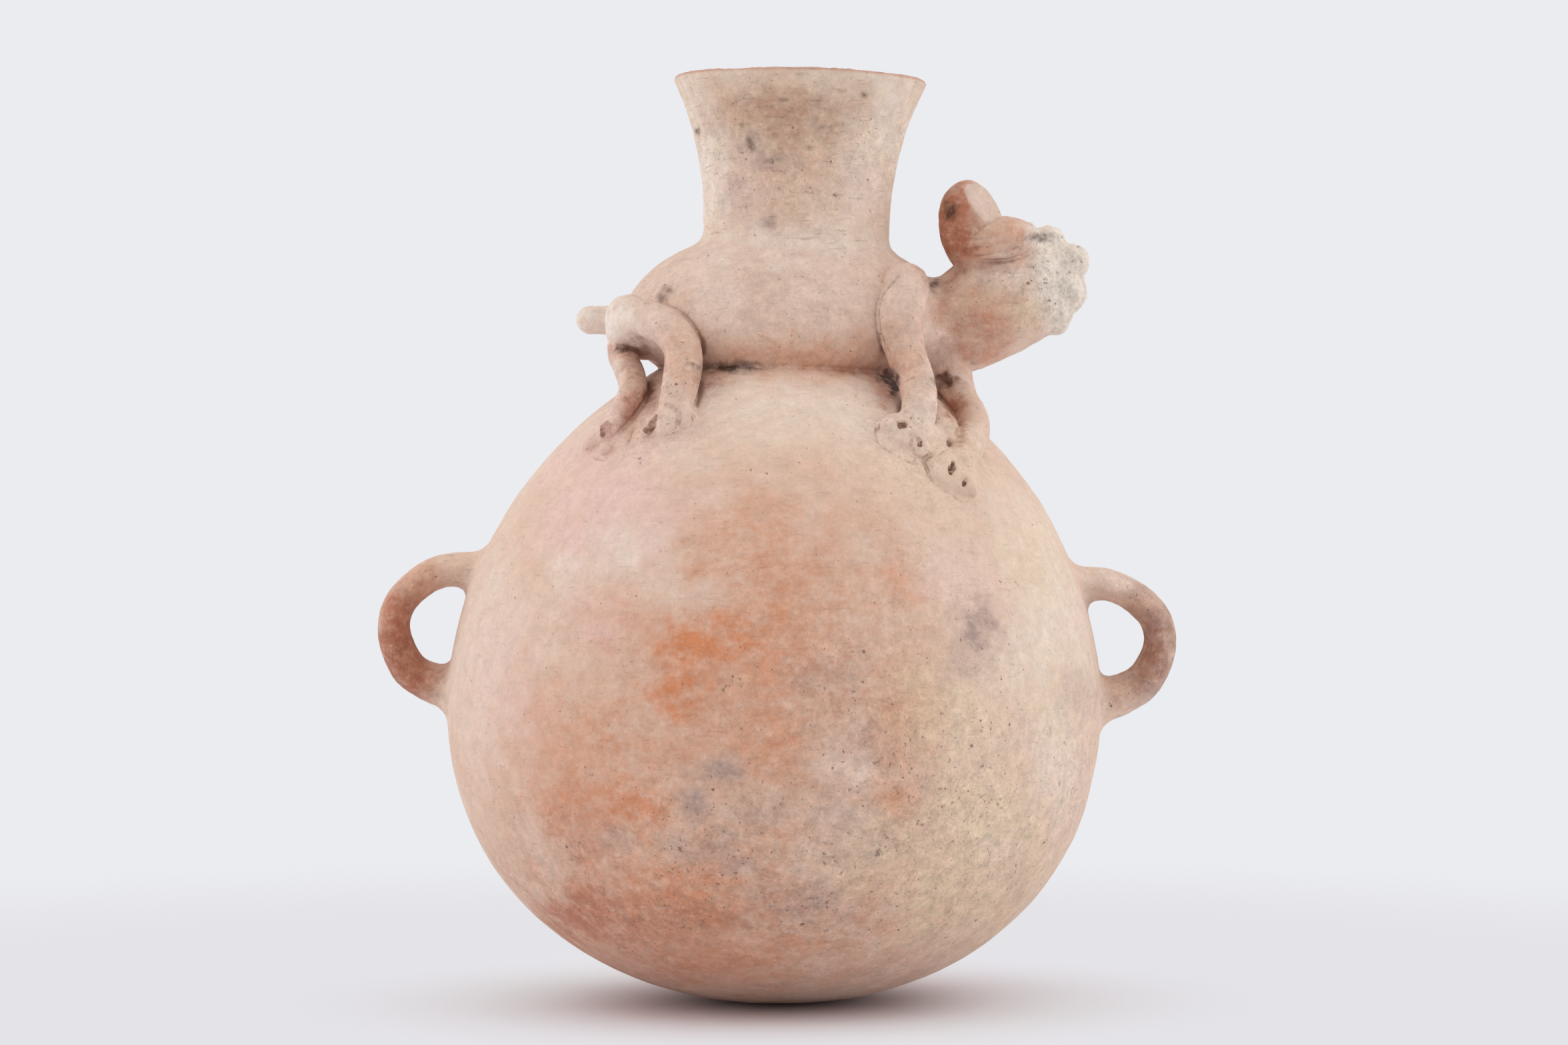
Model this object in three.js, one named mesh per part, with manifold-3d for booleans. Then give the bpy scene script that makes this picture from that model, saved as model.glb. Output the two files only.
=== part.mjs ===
// A globular clay jar: a round-bottomed globe with two loop handles, and on its crown a hollow
// four-legged animal whose back carries the flared spout. Every clay piece the potter formed by
// itself is its own mesh. Millimetres; +X runs towards the animal's head, -Y faces the viewer,
// +Z is up, and the origin is the middle of the flat foot.
import * as THREE from "three";
import { mergeVertices } from "three/addons/utils/BufferGeometryUtils.js";
import Module from "manifold-3d";

const wasm = await Module();
wasm.setup();

// Joints between clay pieces
const SLIP = 0.3; // slip line left between two pieces
const BITE = 4; // how far a rolled piece runs into its neighbour before it is trimmed

// Globe
const GLOBE_RADIUS = 105;
const EQUATOR_HEIGHT = 96; // foot to the widest circle
const FOOT_RADIUS = 22; // flat spot that the jar stands on
const CROWN_RISE = 120; // widest circle to the pole that the shoulder's curve aims at
const BOWL_FULLNESS = 2.15; // superellipse powers: 2 is an ellipse, more is fuller
const CROWN_FULLNESS = 1.8;
const GLOBE_WALL = 6;

// Animal's hollow trunk, an egg lying along X
const TRUNK_LENGTH = 108;
const TRUNK_WIDTH = 88;
const TRUNK_BACK = 35.5; // widest line up to the back
const TRUNK_KEEL = 22; // widest line down to the keel
const TRUNK_SINK = 2; // widest line below the globe's pole
const TRUNK_FORWARD = 3.8; // trunk's middle ahead of the globe's axis
const TRUNK_WALL = 6;
const KEEL_TAPER = 1.2; // how fast the keel lifts towards both ends

// Spout
const SPOUT_FORWARD = 7.3; // spout's axis ahead of the globe's axis
const SPOUT_HEIGHT = 47; // animal's back up to the rim
const WAIST_RADIUS = 30;
const RIM_RADIUS = 40;
const FLARE_POWER = 2.1;
const SPOUT_WALL = 4.5;
const RIM_WALL = 3.4;
const SPOUT_LEAN = 2; // degrees towards the head

// Handles: heights of the two roots above the widest circle
const HANDLE_THICKNESS = 10.4;
const HANDLE_WIDTH = 16.5;
const HANDLE_ROOT_SWELL = 1.5; // thickness at the lower root over the loop's
const LEFT_HANDLE = { side: -1, top: 42, bottom: 5.5, standoff: 17.8 };
const RIGHT_HANDLE = { side: 1, top: 37.5, bottom: 1.5, standoff: 19.6 };

// Head, a roll whose axis is measured from the trunk's front end and widest line, in head radii
const HEAD_RADIUS = 18;
const HEAD_AXIS = [
  [-0.667, 0],
  [0.194, 0.267],
  [0.75, 0.6],
  [1.056, 0.767],
];
const HEAD_THICKNESS = [0.86, 0.92, 1, 0.99];
const HEAD_BREADTH = 0.96; // across over up-and-down
const MUZZLE_AHEAD = 8; // lump's middle beyond the end of the head's axis
const MUZZLE_RADIUS = 17;
const MUZZLE_ROUGHNESS = 0.8;
const EAR_HEIGHT = 27;
const EAR_BREADTH = 23;
const EAR_THICKNESS = 17; // before its front is cut to a face
const EAR_FACE = 5.5; // depth cut away at the front
const EAR_FACE_TILT = 22; // degrees that the face looks up
const EAR_BACK = 8; // how far behind the skull's fullest point it stands
const EAR_LIFT = 7.5; // its middle above the skull's top
const EAR_SPACING = 23;
const EAR_SPLAY = 30; // degrees that its face turns outwards
const BROW_LENGTH = 18;
const BROW_HEIGHT = 15;
const BROW_SPACING = 15;
const BROW_AHEAD = 4.5; // beyond the skull's fullest point
const BROW_LIFT = 2.2; // its middle above the skull's top

// Tail
const TAIL_REACH = 14; // tip beyond the trunk's rear end
const TAIL_RADIUS = 4.8;
const TAIL_LIFT = 5; // above the trunk's widest line

// Paws
const PAD_LENGTH = 15;
const PAD_BREADTH = 15;
const PAD_HEIGHT = 8;
const TOE_RADIUS = 3.4;
const TOE_SPREAD = 5.4; // between neighbouring toes
const CLAW_HOLE_RADIUS = 1.5;
const CLAW_HOLE_DEPTH = 4;

// Legs. trunk: [along -1..1 from rear to front, degrees down from the back on the viewer's side,
// distance off the surface in leg radii]; globe: [x and y as shares of the globe's radius, height
// over the shoulder in leg radii]; thickness: the roll's radius at those points in leg radii.
const LEG_RADIUS = 6;
const ANKLE = 0.17; // height of a leg's end over the shoulder, in leg radii
const LEGS = [
  {
    name: "foreleg_right",
    paw: "forepaw_right",
    trunk: [
      [0.71, 50, 0],
      [0.66, 83, 0.43],
      [0.69, 107, 1.08],
    ],
    globe: [
      [0.419, -0.41, 2],
      [0.431, -0.457, 1.5],
      [0.421, -0.505, 0.83],
    ],
    thickness: [0.77, 0.98, 1, 0.97, 0.87, 0.83],
    stand: [0.404, -0.519],
    turn: -42,
  },
  {
    name: "foreleg_left",
    paw: "forepaw_left",
    trunk: [
      [1, 140, 1],
      [1, 150, 2.17],
    ],
    globe: [
      [0.564, -0.124, 0.9],
      [0.593, -0.19, 0.53],
      [0.594, -0.295, 0.33],
      [0.571, -0.4, 0.25],
    ],
    thickness: [0.8, 0.8, 0.82, 0.8, 0.8, 0.8],
    stand: [0.543, -0.486],
    turn: -24,
  },
  {
    name: "hindleg_right",
    paw: "hindpaw_right",
    trunk: [
      [-0.94, 60, 0],
      [-0.82, 79, 0.4],
      [-0.68, 89, 0.57],
      [-0.6, 106, 1],
    ],
    globe: [
      [-0.27, -0.429, 1.33],
      [-0.278, -0.476, 0.9],
      [-0.289, -0.519, 0.57],
    ],
    thickness: [0.83, 0.97, 1, 1, 1, 0.97, 0.9],
    stand: [-0.295, -0.543],
    turn: 10,
  },
  {
    name: "hindleg_left",
    paw: "hindpaw_left",
    trunk: [
      [-0.86, 104, -0.4],
      [-0.95, 116, 0.6],
      [-0.965, 130, 1.5],
    ],
    globe: [
      [-0.427, -0.267, 0.83],
      [-0.425, -0.338, 0.5],
      [-0.453, -0.39, 0.33],
    ],
    thickness: [0.73, 0.77, 0.75, 0.73, 0.73, 0.73],
    stand: [-0.484, -0.41],
    turn: 4,
  },
];

// Facets
const GLOBE_SEGMENTS = 40;
const PROFILE_STEPS = 8;
const EGG_SEGMENTS = 24;
const EGG_RINGS = 14;
const ROLL_SIDES = 10;
const ROLL_STEPS = 3; // rings between two points of a roll's path
const CAP_RINGS = 2; // rings that round a roll's end
const BEAD_SEGMENTS = 12;
const BEAD_RINGS = 7;

// Values that follow from the sizes above
const TRUNK_HEIGHT = EQUATOR_HEIGHT + CROWN_RISE - TRUNK_SINK;
const BACK_HEIGHT = TRUNK_HEIGHT + TRUNK_BACK;
const BORE_RADIUS = WAIST_RADIUS - SPOUT_WALL;
const CHEST = TRUNK_LENGTH / 2;
const BOWL_DROP =
  EQUATOR_HEIGHT /
  Math.pow(1 - Math.pow(FOOT_RADIUS / GLOBE_RADIUS, BOWL_FULLNESS), 1 / BOWL_FULLNESS);
const radians = THREE.MathUtils.degToRad;

// Solids

// A closed geometry as a solid: shared corners are welded and faces without area are dropped.
function solidOf(geometry) {
  const bare = geometry.clone();
  for (const name of Object.keys(bare.attributes)) {
    if (name !== "position") bare.deleteAttribute(name);
  }
  const welded = mergeVertices(bare, 1e-4);
  const corners = welded.index.array;
  const kept = [];
  for (let i = 0; i < corners.length; i += 3) {
    const [a, b, c] = [corners[i], corners[i + 1], corners[i + 2]];
    if (a !== b && b !== c && c !== a) kept.push(a, b, c);
  }
  return new wasm.Manifold(
    new wasm.Mesh({
      numProp: 3,
      vertProperties: new Float32Array(welded.attributes.position.array),
      triVerts: new Uint32Array(kept),
    }),
  );
}

function geometryOf(solid) {
  const mesh = solid.getMesh();
  const geometry = new THREE.BufferGeometry();
  geometry.setAttribute("position", new THREE.BufferAttribute(mesh.vertProperties, 3));
  geometry.setIndex(new THREE.BufferAttribute(mesh.triVerts, 1));
  geometry.computeVertexNormals();
  return geometry;
}

function cut(solid, ...cutters) {
  return cutters.reduce((left, cutter) => left.subtract(cutter), solid);
}

// A surface of revolution about Z from (radius, height) pairs, listed from the bottom up on the outside.
function turned(profile, segments = GLOBE_SEGMENTS) {
  const points = profile.map(([radius, height]) => new THREE.Vector2(radius, height));
  return new THREE.LatheGeometry(points, segments).rotateX(Math.PI / 2);
}

// A roll of clay: an oval section along a smooth path, rounded at both ends. across is the
// direction of the section's second axis, which is breadth times the radius.
function rolled(points, radii, across, breadth = 1, sides = ROLL_SIDES) {
  const path = new THREE.CatmullRomCurve3(points);
  const spans = points.length - 1;
  const rings = [];
  const ringAt = (t, shrink, push) => {
    const place = Math.min(Math.floor(t * spans), spans - 1);
    const radius = THREE.MathUtils.lerp(radii[place], radii[place + 1], t * spans - place);
    const along = path.getTangent(t);
    const second = across.clone().addScaledVector(along, -across.dot(along)).normalize();
    const first = new THREE.Vector3().crossVectors(second, along);
    const centre = path.getPoint(t).addScaledVector(along, push * radius);
    rings.push(
      Array.from({ length: sides }, (_, side) => {
        const turn = (2 * Math.PI * side) / sides;
        return centre
          .clone()
          .addScaledVector(first, Math.cos(turn) * radius * shrink)
          .addScaledVector(second, Math.sin(turn) * radius * shrink * breadth);
      }),
    );
    return centre;
  };
  const capTurn = (ring) => (Math.PI / 2) * (ring / (CAP_RINGS + 1));
  const first = ringAt(0, 0, -1);
  for (let ring = CAP_RINGS; ring > 0; ring--) ringAt(0, Math.cos(capTurn(ring)), -Math.sin(capTurn(ring)));
  for (let step = 0; step <= spans * ROLL_STEPS; step++) ringAt(step / (spans * ROLL_STEPS), 1, 0);
  for (let ring = 1; ring <= CAP_RINGS; ring++) ringAt(1, Math.cos(capTurn(ring)), Math.sin(capTurn(ring)));
  const last = ringAt(1, 0, 1);
  return skinned(rings.slice(1, -1), first, last);
}

// A closed skin over rings of points, with a point at each end.
function skinned(rings, first, last) {
  const sides = rings[0].length;
  const places = [first, ...rings.flat(), last];
  const corner = (ring, side) => 1 + ring * sides + (side % sides);
  const faces = [];
  for (let side = 0; side < sides; side++) {
    faces.push(0, corner(0, side + 1), corner(0, side));
    faces.push(places.length - 1, corner(rings.length - 1, side), corner(rings.length - 1, side + 1));
    for (let ring = 0; ring < rings.length - 1; ring++) {
      const [a, b] = [corner(ring, side), corner(ring, side + 1)];
      const [c, d] = [corner(ring + 1, side), corner(ring + 1, side + 1)];
      faces.push(a, b, d, a, d, c);
    }
  }
  return new THREE.BufferGeometry().setFromPoints(places).setIndex(faces);
}

// An ellipsoid bead with its half sizes along the axes of a frame.
function bead(frame, x, y, z) {
  return new THREE.SphereGeometry(1, BEAD_SEGMENTS, BEAD_RINGS).scale(x, y, z).applyMatrix4(frame);
}

// Globe

// Radius of the globe's outside at a height, with the wall taken off for its inside.
function globeRadius(height, inset = 0) {
  const above = height >= EQUATOR_HEIGHT;
  const power = above ? CROWN_FULLNESS : BOWL_FULLNESS;
  const reach = (above ? CROWN_RISE : BOWL_DROP) - inset;
  const share = Math.min(Math.abs(height - EQUATOR_HEIGHT) / reach, 1);
  return (GLOBE_RADIUS - inset) * Math.pow(1 - Math.pow(share, power), 1 / power);
}

// Height of the globe's shoulder at a distance from the axis.
function shoulderHeight(radius) {
  const share = Math.min(radius / GLOBE_RADIUS, 1);
  return EQUATOR_HEIGHT + CROWN_RISE * Math.pow(1 - Math.pow(share, CROWN_FULLNESS), 1 / CROWN_FULLNESS);
}

// Heights that crowd towards a pole, where the curve turns fastest.
function heightsTo(pole, start) {
  return Array.from({ length: PROFILE_STEPS + 1 }, (_, step) => {
    const turn = (Math.PI / 2) * (step / PROFILE_STEPS);
    return THREE.MathUtils.lerp(start, pole, Math.sin(turn));
  });
}

function bowlProfile(inset, floor, top) {
  return heightsTo(floor, top)
    .reverse()
    .map((height) => [globeRadius(height, inset), height]);
}

function crownProfile(inset, start) {
  const pole = EQUATOR_HEIGHT + CROWN_RISE - inset;
  return heightsTo(pole, start).map((height) => [height === pole ? 0 : globeRadius(height, inset), height]);
}

// The filled globe, grown by the slip line, that trims whatever is luted onto it.
function globeSolid(grow) {
  const profile = [
    [0, -grow],
    ...bowlProfile(-grow, -grow, EQUATOR_HEIGHT),
    ...crownProfile(-grow, EQUATOR_HEIGHT).slice(1),
  ];
  return solidOf(turned(profile));
}

function baseBowl() {
  const edge = EQUATOR_HEIGHT - SLIP / 2;
  const innerFloor = EQUATOR_HEIGHT - BOWL_DROP + GLOBE_WALL;
  const inside = bowlProfile(GLOBE_WALL, innerFloor, edge).reverse();
  inside[inside.length - 1][0] = 0;
  return solidOf(turned([[0, 0], ...bowlProfile(0, 0, edge), ...inside]));
}

function shoulderDome() {
  const edge = EQUATOR_HEIGHT + SLIP / 2;
  const inside = crownProfile(GLOBE_WALL, edge);
  const outside = crownProfile(0, edge);
  const dome = solidOf(turned([...inside.reverse(), ...outside]));
  const throat = new THREE.CylinderGeometry(BORE_RADIUS, BORE_RADIUS, CROWN_RISE, GLOBE_SEGMENTS)
    .rotateX(Math.PI / 2)
    .translate(SPOUT_FORWARD, 0, EQUATOR_HEIGHT + CROWN_RISE);
  return cut(dome, solidOf(throat));
}

// A point over the globe's shoulder, from shares of the globe's radius, and the frame there:
// +X downhill, +Y level, +Z out of the clay.
function globePlace(shareX, shareY, over = 0) {
  const [x, y] = [shareX * GLOBE_RADIUS, shareY * GLOBE_RADIUS];
  const radius = Math.hypot(x, y);
  const step = 0.01;
  const slope = (shoulderHeight(radius + step) - shoulderHeight(radius - step)) / (2 * step);
  const outward = new THREE.Vector3(x / radius, y / radius, 0);
  const normal = outward.clone().multiplyScalar(-slope).setZ(1).normalize();
  const downhill = outward.clone().setZ(slope).normalize();
  const level = new THREE.Vector3().crossVectors(normal, downhill);
  const point = new THREE.Vector3(x, y, shoulderHeight(radius) + over);
  return { point, frame: new THREE.Matrix4().makeBasis(downhill, level, normal).setPosition(point) };
}

// Handles

function handle({ side, top, bottom, standoff }) {
  const [high, low] = [EQUATOR_HEIGHT + top, EQUATOR_HEIGHT + bottom];
  const reach = GLOBE_RADIUS + standoff;
  const [rootHigh, rootLow] = [globeRadius(high), globeRadius(low)];
  const outline = [
    [rootHigh - BITE, high - 0.1 * HANDLE_THICKNESS],
    [(rootHigh + reach) / 2, high + 0.05 * HANDLE_THICKNESS],
    [reach - standoff * 0.1, THREE.MathUtils.lerp(low, high, 0.78)],
    [reach, THREE.MathUtils.lerp(low, high, 0.5)],
    [reach - standoff * 0.2, THREE.MathUtils.lerp(low, high, 0.2)],
    [THREE.MathUtils.lerp(rootLow, reach, 0.44), low + 0.15 * HANDLE_THICKNESS],
    [rootLow - BITE, low - 0.24 * HANDLE_THICKNESS],
  ];
  const loop = HANDLE_THICKNESS / 2;
  const radii = [1.3, 1.03, 1, 1, 1.12, 1.22, HANDLE_ROOT_SWELL].map((share) => share * loop);
  const points = outline.map(([x, z]) => new THREE.Vector3(side * x, 0, z));
  const across = new THREE.Vector3(0, 1, 0);
  const strap = solidOf(rolled(points, radii, across, HANDLE_WIDTH / HANDLE_THICKNESS));
  return cut(strap, globeSolid(SLIP));
}

// Animal, in its own frame: the origin is the middle of the trunk's widest line

const animalPlace = new THREE.Vector3(TRUNK_FORWARD, 0, TRUNK_HEIGHT);

function globeForAnimal(grow) {
  return globeSolid(grow).translate(animalPlace.clone().negate().toArray());
}

// A point on an egg of the trunk's form from its place on a unit sphere.
function onEgg(x, y, z, grow) {
  const girth = Math.sqrt(Math.max(0, 1 - x * x));
  const rise = z >= 0 ? TRUNK_BACK + grow : (TRUNK_KEEL + grow) * Math.pow(girth, KEEL_TAPER);
  return new THREE.Vector3(x * (TRUNK_LENGTH / 2 + grow), y * (TRUNK_WIDTH / 2 + grow), z * rise);
}

function trunkSolid(grow) {
  const egg = new THREE.SphereGeometry(1, EGG_SEGMENTS, EGG_RINGS).rotateZ(Math.PI / 2);
  const places = egg.attributes.position;
  const point = new THREE.Vector3();
  for (let i = 0; i < places.count; i++) {
    point.fromBufferAttribute(places, i);
    places.setXYZ(i, ...onEgg(point.x, point.y, point.z, grow).toArray());
  }
  return solidOf(egg);
}

// A point off the trunk, from its share of the half length and its angle down from the back.
function trunkPoint(along, degrees, off) {
  const share = Math.max(-1, Math.min(1, along));
  const girth = Math.sqrt(1 - share * share);
  const turn = radians(degrees);
  const section = new THREE.Vector3(0, -Math.sin(turn), Math.cos(turn));
  const point = onEgg(share, section.y * girth, section.z * girth, 0);
  point.x += (along - share) * (TRUNK_LENGTH / 2);
  return point.addScaledVector(section, off);
}

function trunk() {
  const hollow = trunkSolid(-TRUNK_WALL);
  const throat = new THREE.CylinderGeometry(BORE_RADIUS, BORE_RADIUS, 2 * TRUNK_BACK, GLOBE_SEGMENTS)
    .rotateX(Math.PI / 2)
    .translate(SPOUT_FORWARD - TRUNK_FORWARD, 0, TRUNK_BACK);
  return cut(trunkSolid(0), hollow, solidOf(throat), globeForAnimal(SLIP));
}

const headPoints = HEAD_AXIS.map(
  ([ahead, up]) => new THREE.Vector3(CHEST + ahead * HEAD_RADIUS, 0, up * HEAD_RADIUS),
);
const skull = headPoints[2];
const headAcross = new THREE.Vector3(0, 1, 0);

function headSolid(grow) {
  const radii = HEAD_THICKNESS.map((share) => share * HEAD_RADIUS + grow);
  return solidOf(rolled(headPoints, radii, headAcross, HEAD_BREADTH, BEAD_SEGMENTS));
}

function head() {
  return cut(headSolid(0), trunkSolid(SLIP), globeForAnimal(SLIP));
}

// The worn muzzle: a lump over the end of the head, its surface broken by a few uneven waves.
function muzzle() {
  const end = headPoints[headPoints.length - 1];
  const ahead = end.clone().sub(skull).normalize();
  const centre = end.clone().addScaledVector(ahead, MUZZLE_AHEAD);
  const lump = new THREE.SphereGeometry(1, EGG_SEGMENTS, EGG_RINGS).rotateZ(Math.PI / 2);
  const places = lump.attributes.position;
  const point = new THREE.Vector3();
  for (let i = 0; i < places.count; i++) {
    point.fromBufferAttribute(places, i);
    const waves = Math.sin(5 * point.y + 3 * point.z) + Math.sin(7 * point.z - 4 * point.y + 1);
    const radius = MUZZLE_RADIUS + MUZZLE_ROUGHNESS * waves * Math.max(0, point.x);
    places.setXYZ(i, ...point.multiplyScalar(radius).add(centre).toArray());
  }
  return cut(solidOf(lump), headSolid(SLIP), browSolid(-1, SLIP), browSolid(1, SLIP));
}

// side is -1 on the viewer's side. The ear's frame has its dished face along +X.
function earFrame(side) {
  return new THREE.Matrix4()
    .makeRotationZ(side * radians(EAR_SPLAY))
    .setPosition(skull.x - EAR_BACK, side * (EAR_SPACING / 2), skull.z + HEAD_RADIUS + EAR_LIFT);
}

function earSolid(side, grow) {
  const [thick, broad, tall] = [EAR_THICKNESS / 2 + grow, EAR_BREADTH / 2 + grow, EAR_HEIGHT / 2 + grow];
  return solidOf(bead(earFrame(side), thick, broad, tall));
}

function ear(side) {
  const front = earFrame(side).multiply(new THREE.Matrix4().makeRotationY(radians(-EAR_FACE_TILT)));
  const ahead = EAR_THICKNESS / 2 - EAR_FACE + EAR_HEIGHT;
  front.multiply(new THREE.Matrix4().makeTranslation(ahead, 0, 0));
  const face = bead(front, EAR_HEIGHT, 2 * EAR_BREADTH, 2 * EAR_HEIGHT);
  const others = side > 0 ? [earSolid(-1, SLIP)] : [];
  return cut(earSolid(side, 0), solidOf(face), headSolid(SLIP), ...others);
}

function browSolid(side, grow) {
  const place = new THREE.Matrix4().makeTranslation(
    skull.x + BROW_AHEAD,
    side * (BROW_SPACING / 2),
    skull.z + HEAD_RADIUS + BROW_LIFT,
  );
  const [long, broad, tall] = [BROW_LENGTH / 2 + grow, BROW_SPACING / 2 - SLIP + grow, BROW_HEIGHT / 2 + grow];
  return solidOf(bead(place, long, broad, tall));
}

function brow(side) {
  return cut(browSolid(side, 0), headSolid(SLIP), earSolid(-1, SLIP), earSolid(1, SLIP));
}

function tailSolid(grow) {
  const root = new THREE.Vector3(-CHEST + 3 * TAIL_RADIUS, 0, TAIL_LIFT);
  const tip = new THREE.Vector3(-CHEST - TAIL_REACH + TAIL_RADIUS, 0, TAIL_LIFT);
  const radius = TAIL_RADIUS + grow;
  return solidOf(rolled([root, tip], [radius, radius], headAcross));
}

function tail() {
  return cut(tailSolid(0), trunkSolid(SLIP));
}

// Legs and paws

// Frame of a paw on the globe, with +X along the toes.
function pawFrame({ stand, turn }) {
  return globePlace(...stand).frame.multiply(new THREE.Matrix4().makeRotationZ(radians(turn)));
}

function toePlaces() {
  return [-1, 0, 1].map((place) => [
    PAD_LENGTH / 2 - Math.abs(place) * TOE_RADIUS * 0.4,
    place * TOE_SPREAD,
  ]);
}

function pawSolid(leg, grow) {
  const frame = pawFrame(leg);
  const pad = bead(frame, PAD_LENGTH / 2 + grow, PAD_BREADTH / 2 + grow, PAD_HEIGHT / 2 + grow);
  const toes = toePlaces().map(([ahead, aside]) => {
    const place = frame.clone().multiply(new THREE.Matrix4().makeTranslation(ahead, aside, 0));
    const radius = TOE_RADIUS + grow;
    return solidOf(bead(place, radius * 1.3, radius, radius));
  });
  const whole = toes.reduce((joined, toe) => joined.add(toe), solidOf(pad));
  return whole.translate(animalPlace.clone().negate().toArray());
}

// Two claw holes, pushed in between the toes.
function clawHoles(leg) {
  return [-0.5, 0.5].map((place) => {
    const hole = new THREE.CylinderGeometry(CLAW_HOLE_RADIUS, CLAW_HOLE_RADIUS, 2 * CLAW_HOLE_DEPTH, ROLL_SIDES)
      .rotateX(Math.PI / 2)
      .translate(PAD_LENGTH / 2 - TOE_RADIUS * 0.6, place * TOE_SPREAD, TOE_RADIUS + CLAW_HOLE_DEPTH / 2)
      .applyMatrix4(pawFrame(leg))
      .translate(...animalPlace.clone().negate().toArray());
    return solidOf(hole);
  });
}

function legSolid(leg, grow) {
  const points = [
    ...leg.trunk.map(([along, degrees, off]) => trunkPoint(along, degrees, off * LEG_RADIUS)),
    ...leg.globe.map(([x, y, over]) => globePlace(x, y, over * LEG_RADIUS).point.sub(animalPlace)),
    globePlace(...leg.stand, ANKLE * LEG_RADIUS).point.sub(animalPlace),
  ];
  const radii = [...leg.thickness, leg.thickness.at(-1)].map((share) => share * LEG_RADIUS + grow);
  return solidOf(rolled(points, radii, headAcross.clone().setX(0.3)));
}

const bodyCutters = [trunkSolid(SLIP), globeForAnimal(SLIP), headSolid(SLIP), tailSolid(SLIP)];
const earlier = []; // legs and paws already made, grown by the slip line, that trim the later ones

function legAndPaw(leg) {
  const paw = cut(pawSolid(leg, 0), ...clawHoles(leg), ...bodyCutters, ...earlier);
  const pawCutter = pawSolid(leg, SLIP);
  const limb = cut(legSolid(leg, 0), ...bodyCutters, pawCutter, ...earlier);
  earlier.push(pawCutter, legSolid(leg, SLIP));
  return [limb, paw];
}

// Spout

function spoutRadius(share) {
  return WAIST_RADIUS + (RIM_RADIUS - WAIST_RADIUS) * Math.pow(share, FLARE_POWER);
}

function spout() {
  const place = new THREE.Matrix4()
    .makeRotationY(radians(SPOUT_LEAN))
    .setPosition(SPOUT_FORWARD, 0, BACK_HEIGHT);
  const steps = Array.from({ length: PROFILE_STEPS + 1 }, (_, step) => step / PROFILE_STEPS);
  const lip = RIM_WALL / 2;
  const wallAt = (share) => THREE.MathUtils.lerp(SPOUT_WALL, RIM_WALL, share);
  const outside = steps.map((share) => [spoutRadius(share), share * (SPOUT_HEIGHT - lip)]);
  const inside = steps.map((share) => [spoutRadius(share) - wallAt(share), share * (SPOUT_HEIGHT - lip)]);
  const bottom = -TRUNK_BACK;
  const profile = [
    [WAIST_RADIUS, bottom],
    ...outside,
    [RIM_RADIUS - lip, SPOUT_HEIGHT],
    ...inside.reverse(),
    [BORE_RADIUS, bottom],
    [WAIST_RADIUS, bottom],
  ];
  const wall = solidOf(turned(profile).applyMatrix4(place));
  const trunkHere = trunkSolid(SLIP).translate(animalPlace.toArray());
  const above = cut(wall, trunkHere, globeSolid(SLIP));
  return largest(above);
}

// The biggest of a solid's separate bodies, which drops offcuts left inside the trunk.
function largest(solid) {
  return solid.decompose().reduce((most, body) => (body.volume() > most.volume() ? body : most));
}

// Scene

function clay(color, roughness = 0.9) {
  return new THREE.MeshStandardMaterial({ color, roughness, metalness: 0 });
}

const bodyClay = clay(0xd9b49a);
const animalClay = clay(0xd8b8a0);
const spoutClay = clay(0xd6bba3);
const wornClay = clay(0xcfc2b4, 0.97);

function piece(name, solid, material) {
  const mesh = new THREE.Mesh(geometryOf(solid), material);
  mesh.name = name;
  return mesh;
}

const animal = new THREE.Group();
animal.position.copy(animalPlace);
animal.add(
  piece("animal_trunk", trunk(), animalClay),
  piece("animal_head", head(), animalClay),
  piece("animal_muzzle", muzzle(), wornClay),
  piece("ear_right", ear(-1), animalClay),
  piece("ear_left", ear(1), animalClay),
  piece("brow_right", brow(-1), animalClay),
  piece("brow_left", brow(1), animalClay),
  piece("animal_tail", tail(), animalClay),
);
for (const leg of LEGS) {
  const [limb, paw] = legAndPaw(leg);
  animal.add(piece(leg.name, largest(limb), animalClay), piece(leg.paw, largest(paw), animalClay));
}

const carafe = new THREE.Group();
carafe.add(
  piece("base_bowl", baseBowl(), bodyClay),
  piece("shoulder_dome", shoulderDome(), bodyClay),
  piece("handle_left", handle(LEFT_HANDLE), bodyClay),
  piece("handle_right", handle(RIGHT_HANDLE), bodyClay),
  piece("spout", spout(), spoutClay),
  animal,
);

export default carafe;
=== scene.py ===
"""Looks of a hand-built clay jar: a globe with loop handles, and an animal that carries the spout.

The whole jar is one distance field, in millimetres, in which the potter's pieces flow into each
other as fired clay does. Each piece is meshed by itself from that field, so every CAD node gets
its own closed mesh, and a joint shows only where the clay was left unsmoothed.
"""
import math

import bpy
import numpy as np
import openvdb
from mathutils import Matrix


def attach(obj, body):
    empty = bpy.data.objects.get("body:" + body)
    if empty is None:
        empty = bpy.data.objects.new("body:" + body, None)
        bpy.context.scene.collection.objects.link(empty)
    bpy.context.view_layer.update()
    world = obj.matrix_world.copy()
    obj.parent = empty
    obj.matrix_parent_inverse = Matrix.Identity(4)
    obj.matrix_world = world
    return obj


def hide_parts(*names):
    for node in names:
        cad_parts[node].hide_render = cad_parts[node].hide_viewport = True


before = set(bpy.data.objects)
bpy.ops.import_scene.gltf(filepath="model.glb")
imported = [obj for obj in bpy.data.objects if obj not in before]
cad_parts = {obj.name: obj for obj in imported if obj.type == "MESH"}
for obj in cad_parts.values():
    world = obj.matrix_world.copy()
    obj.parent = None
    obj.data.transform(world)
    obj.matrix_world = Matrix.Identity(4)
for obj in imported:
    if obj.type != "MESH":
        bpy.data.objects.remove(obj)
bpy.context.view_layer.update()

MM = 0.001
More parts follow.
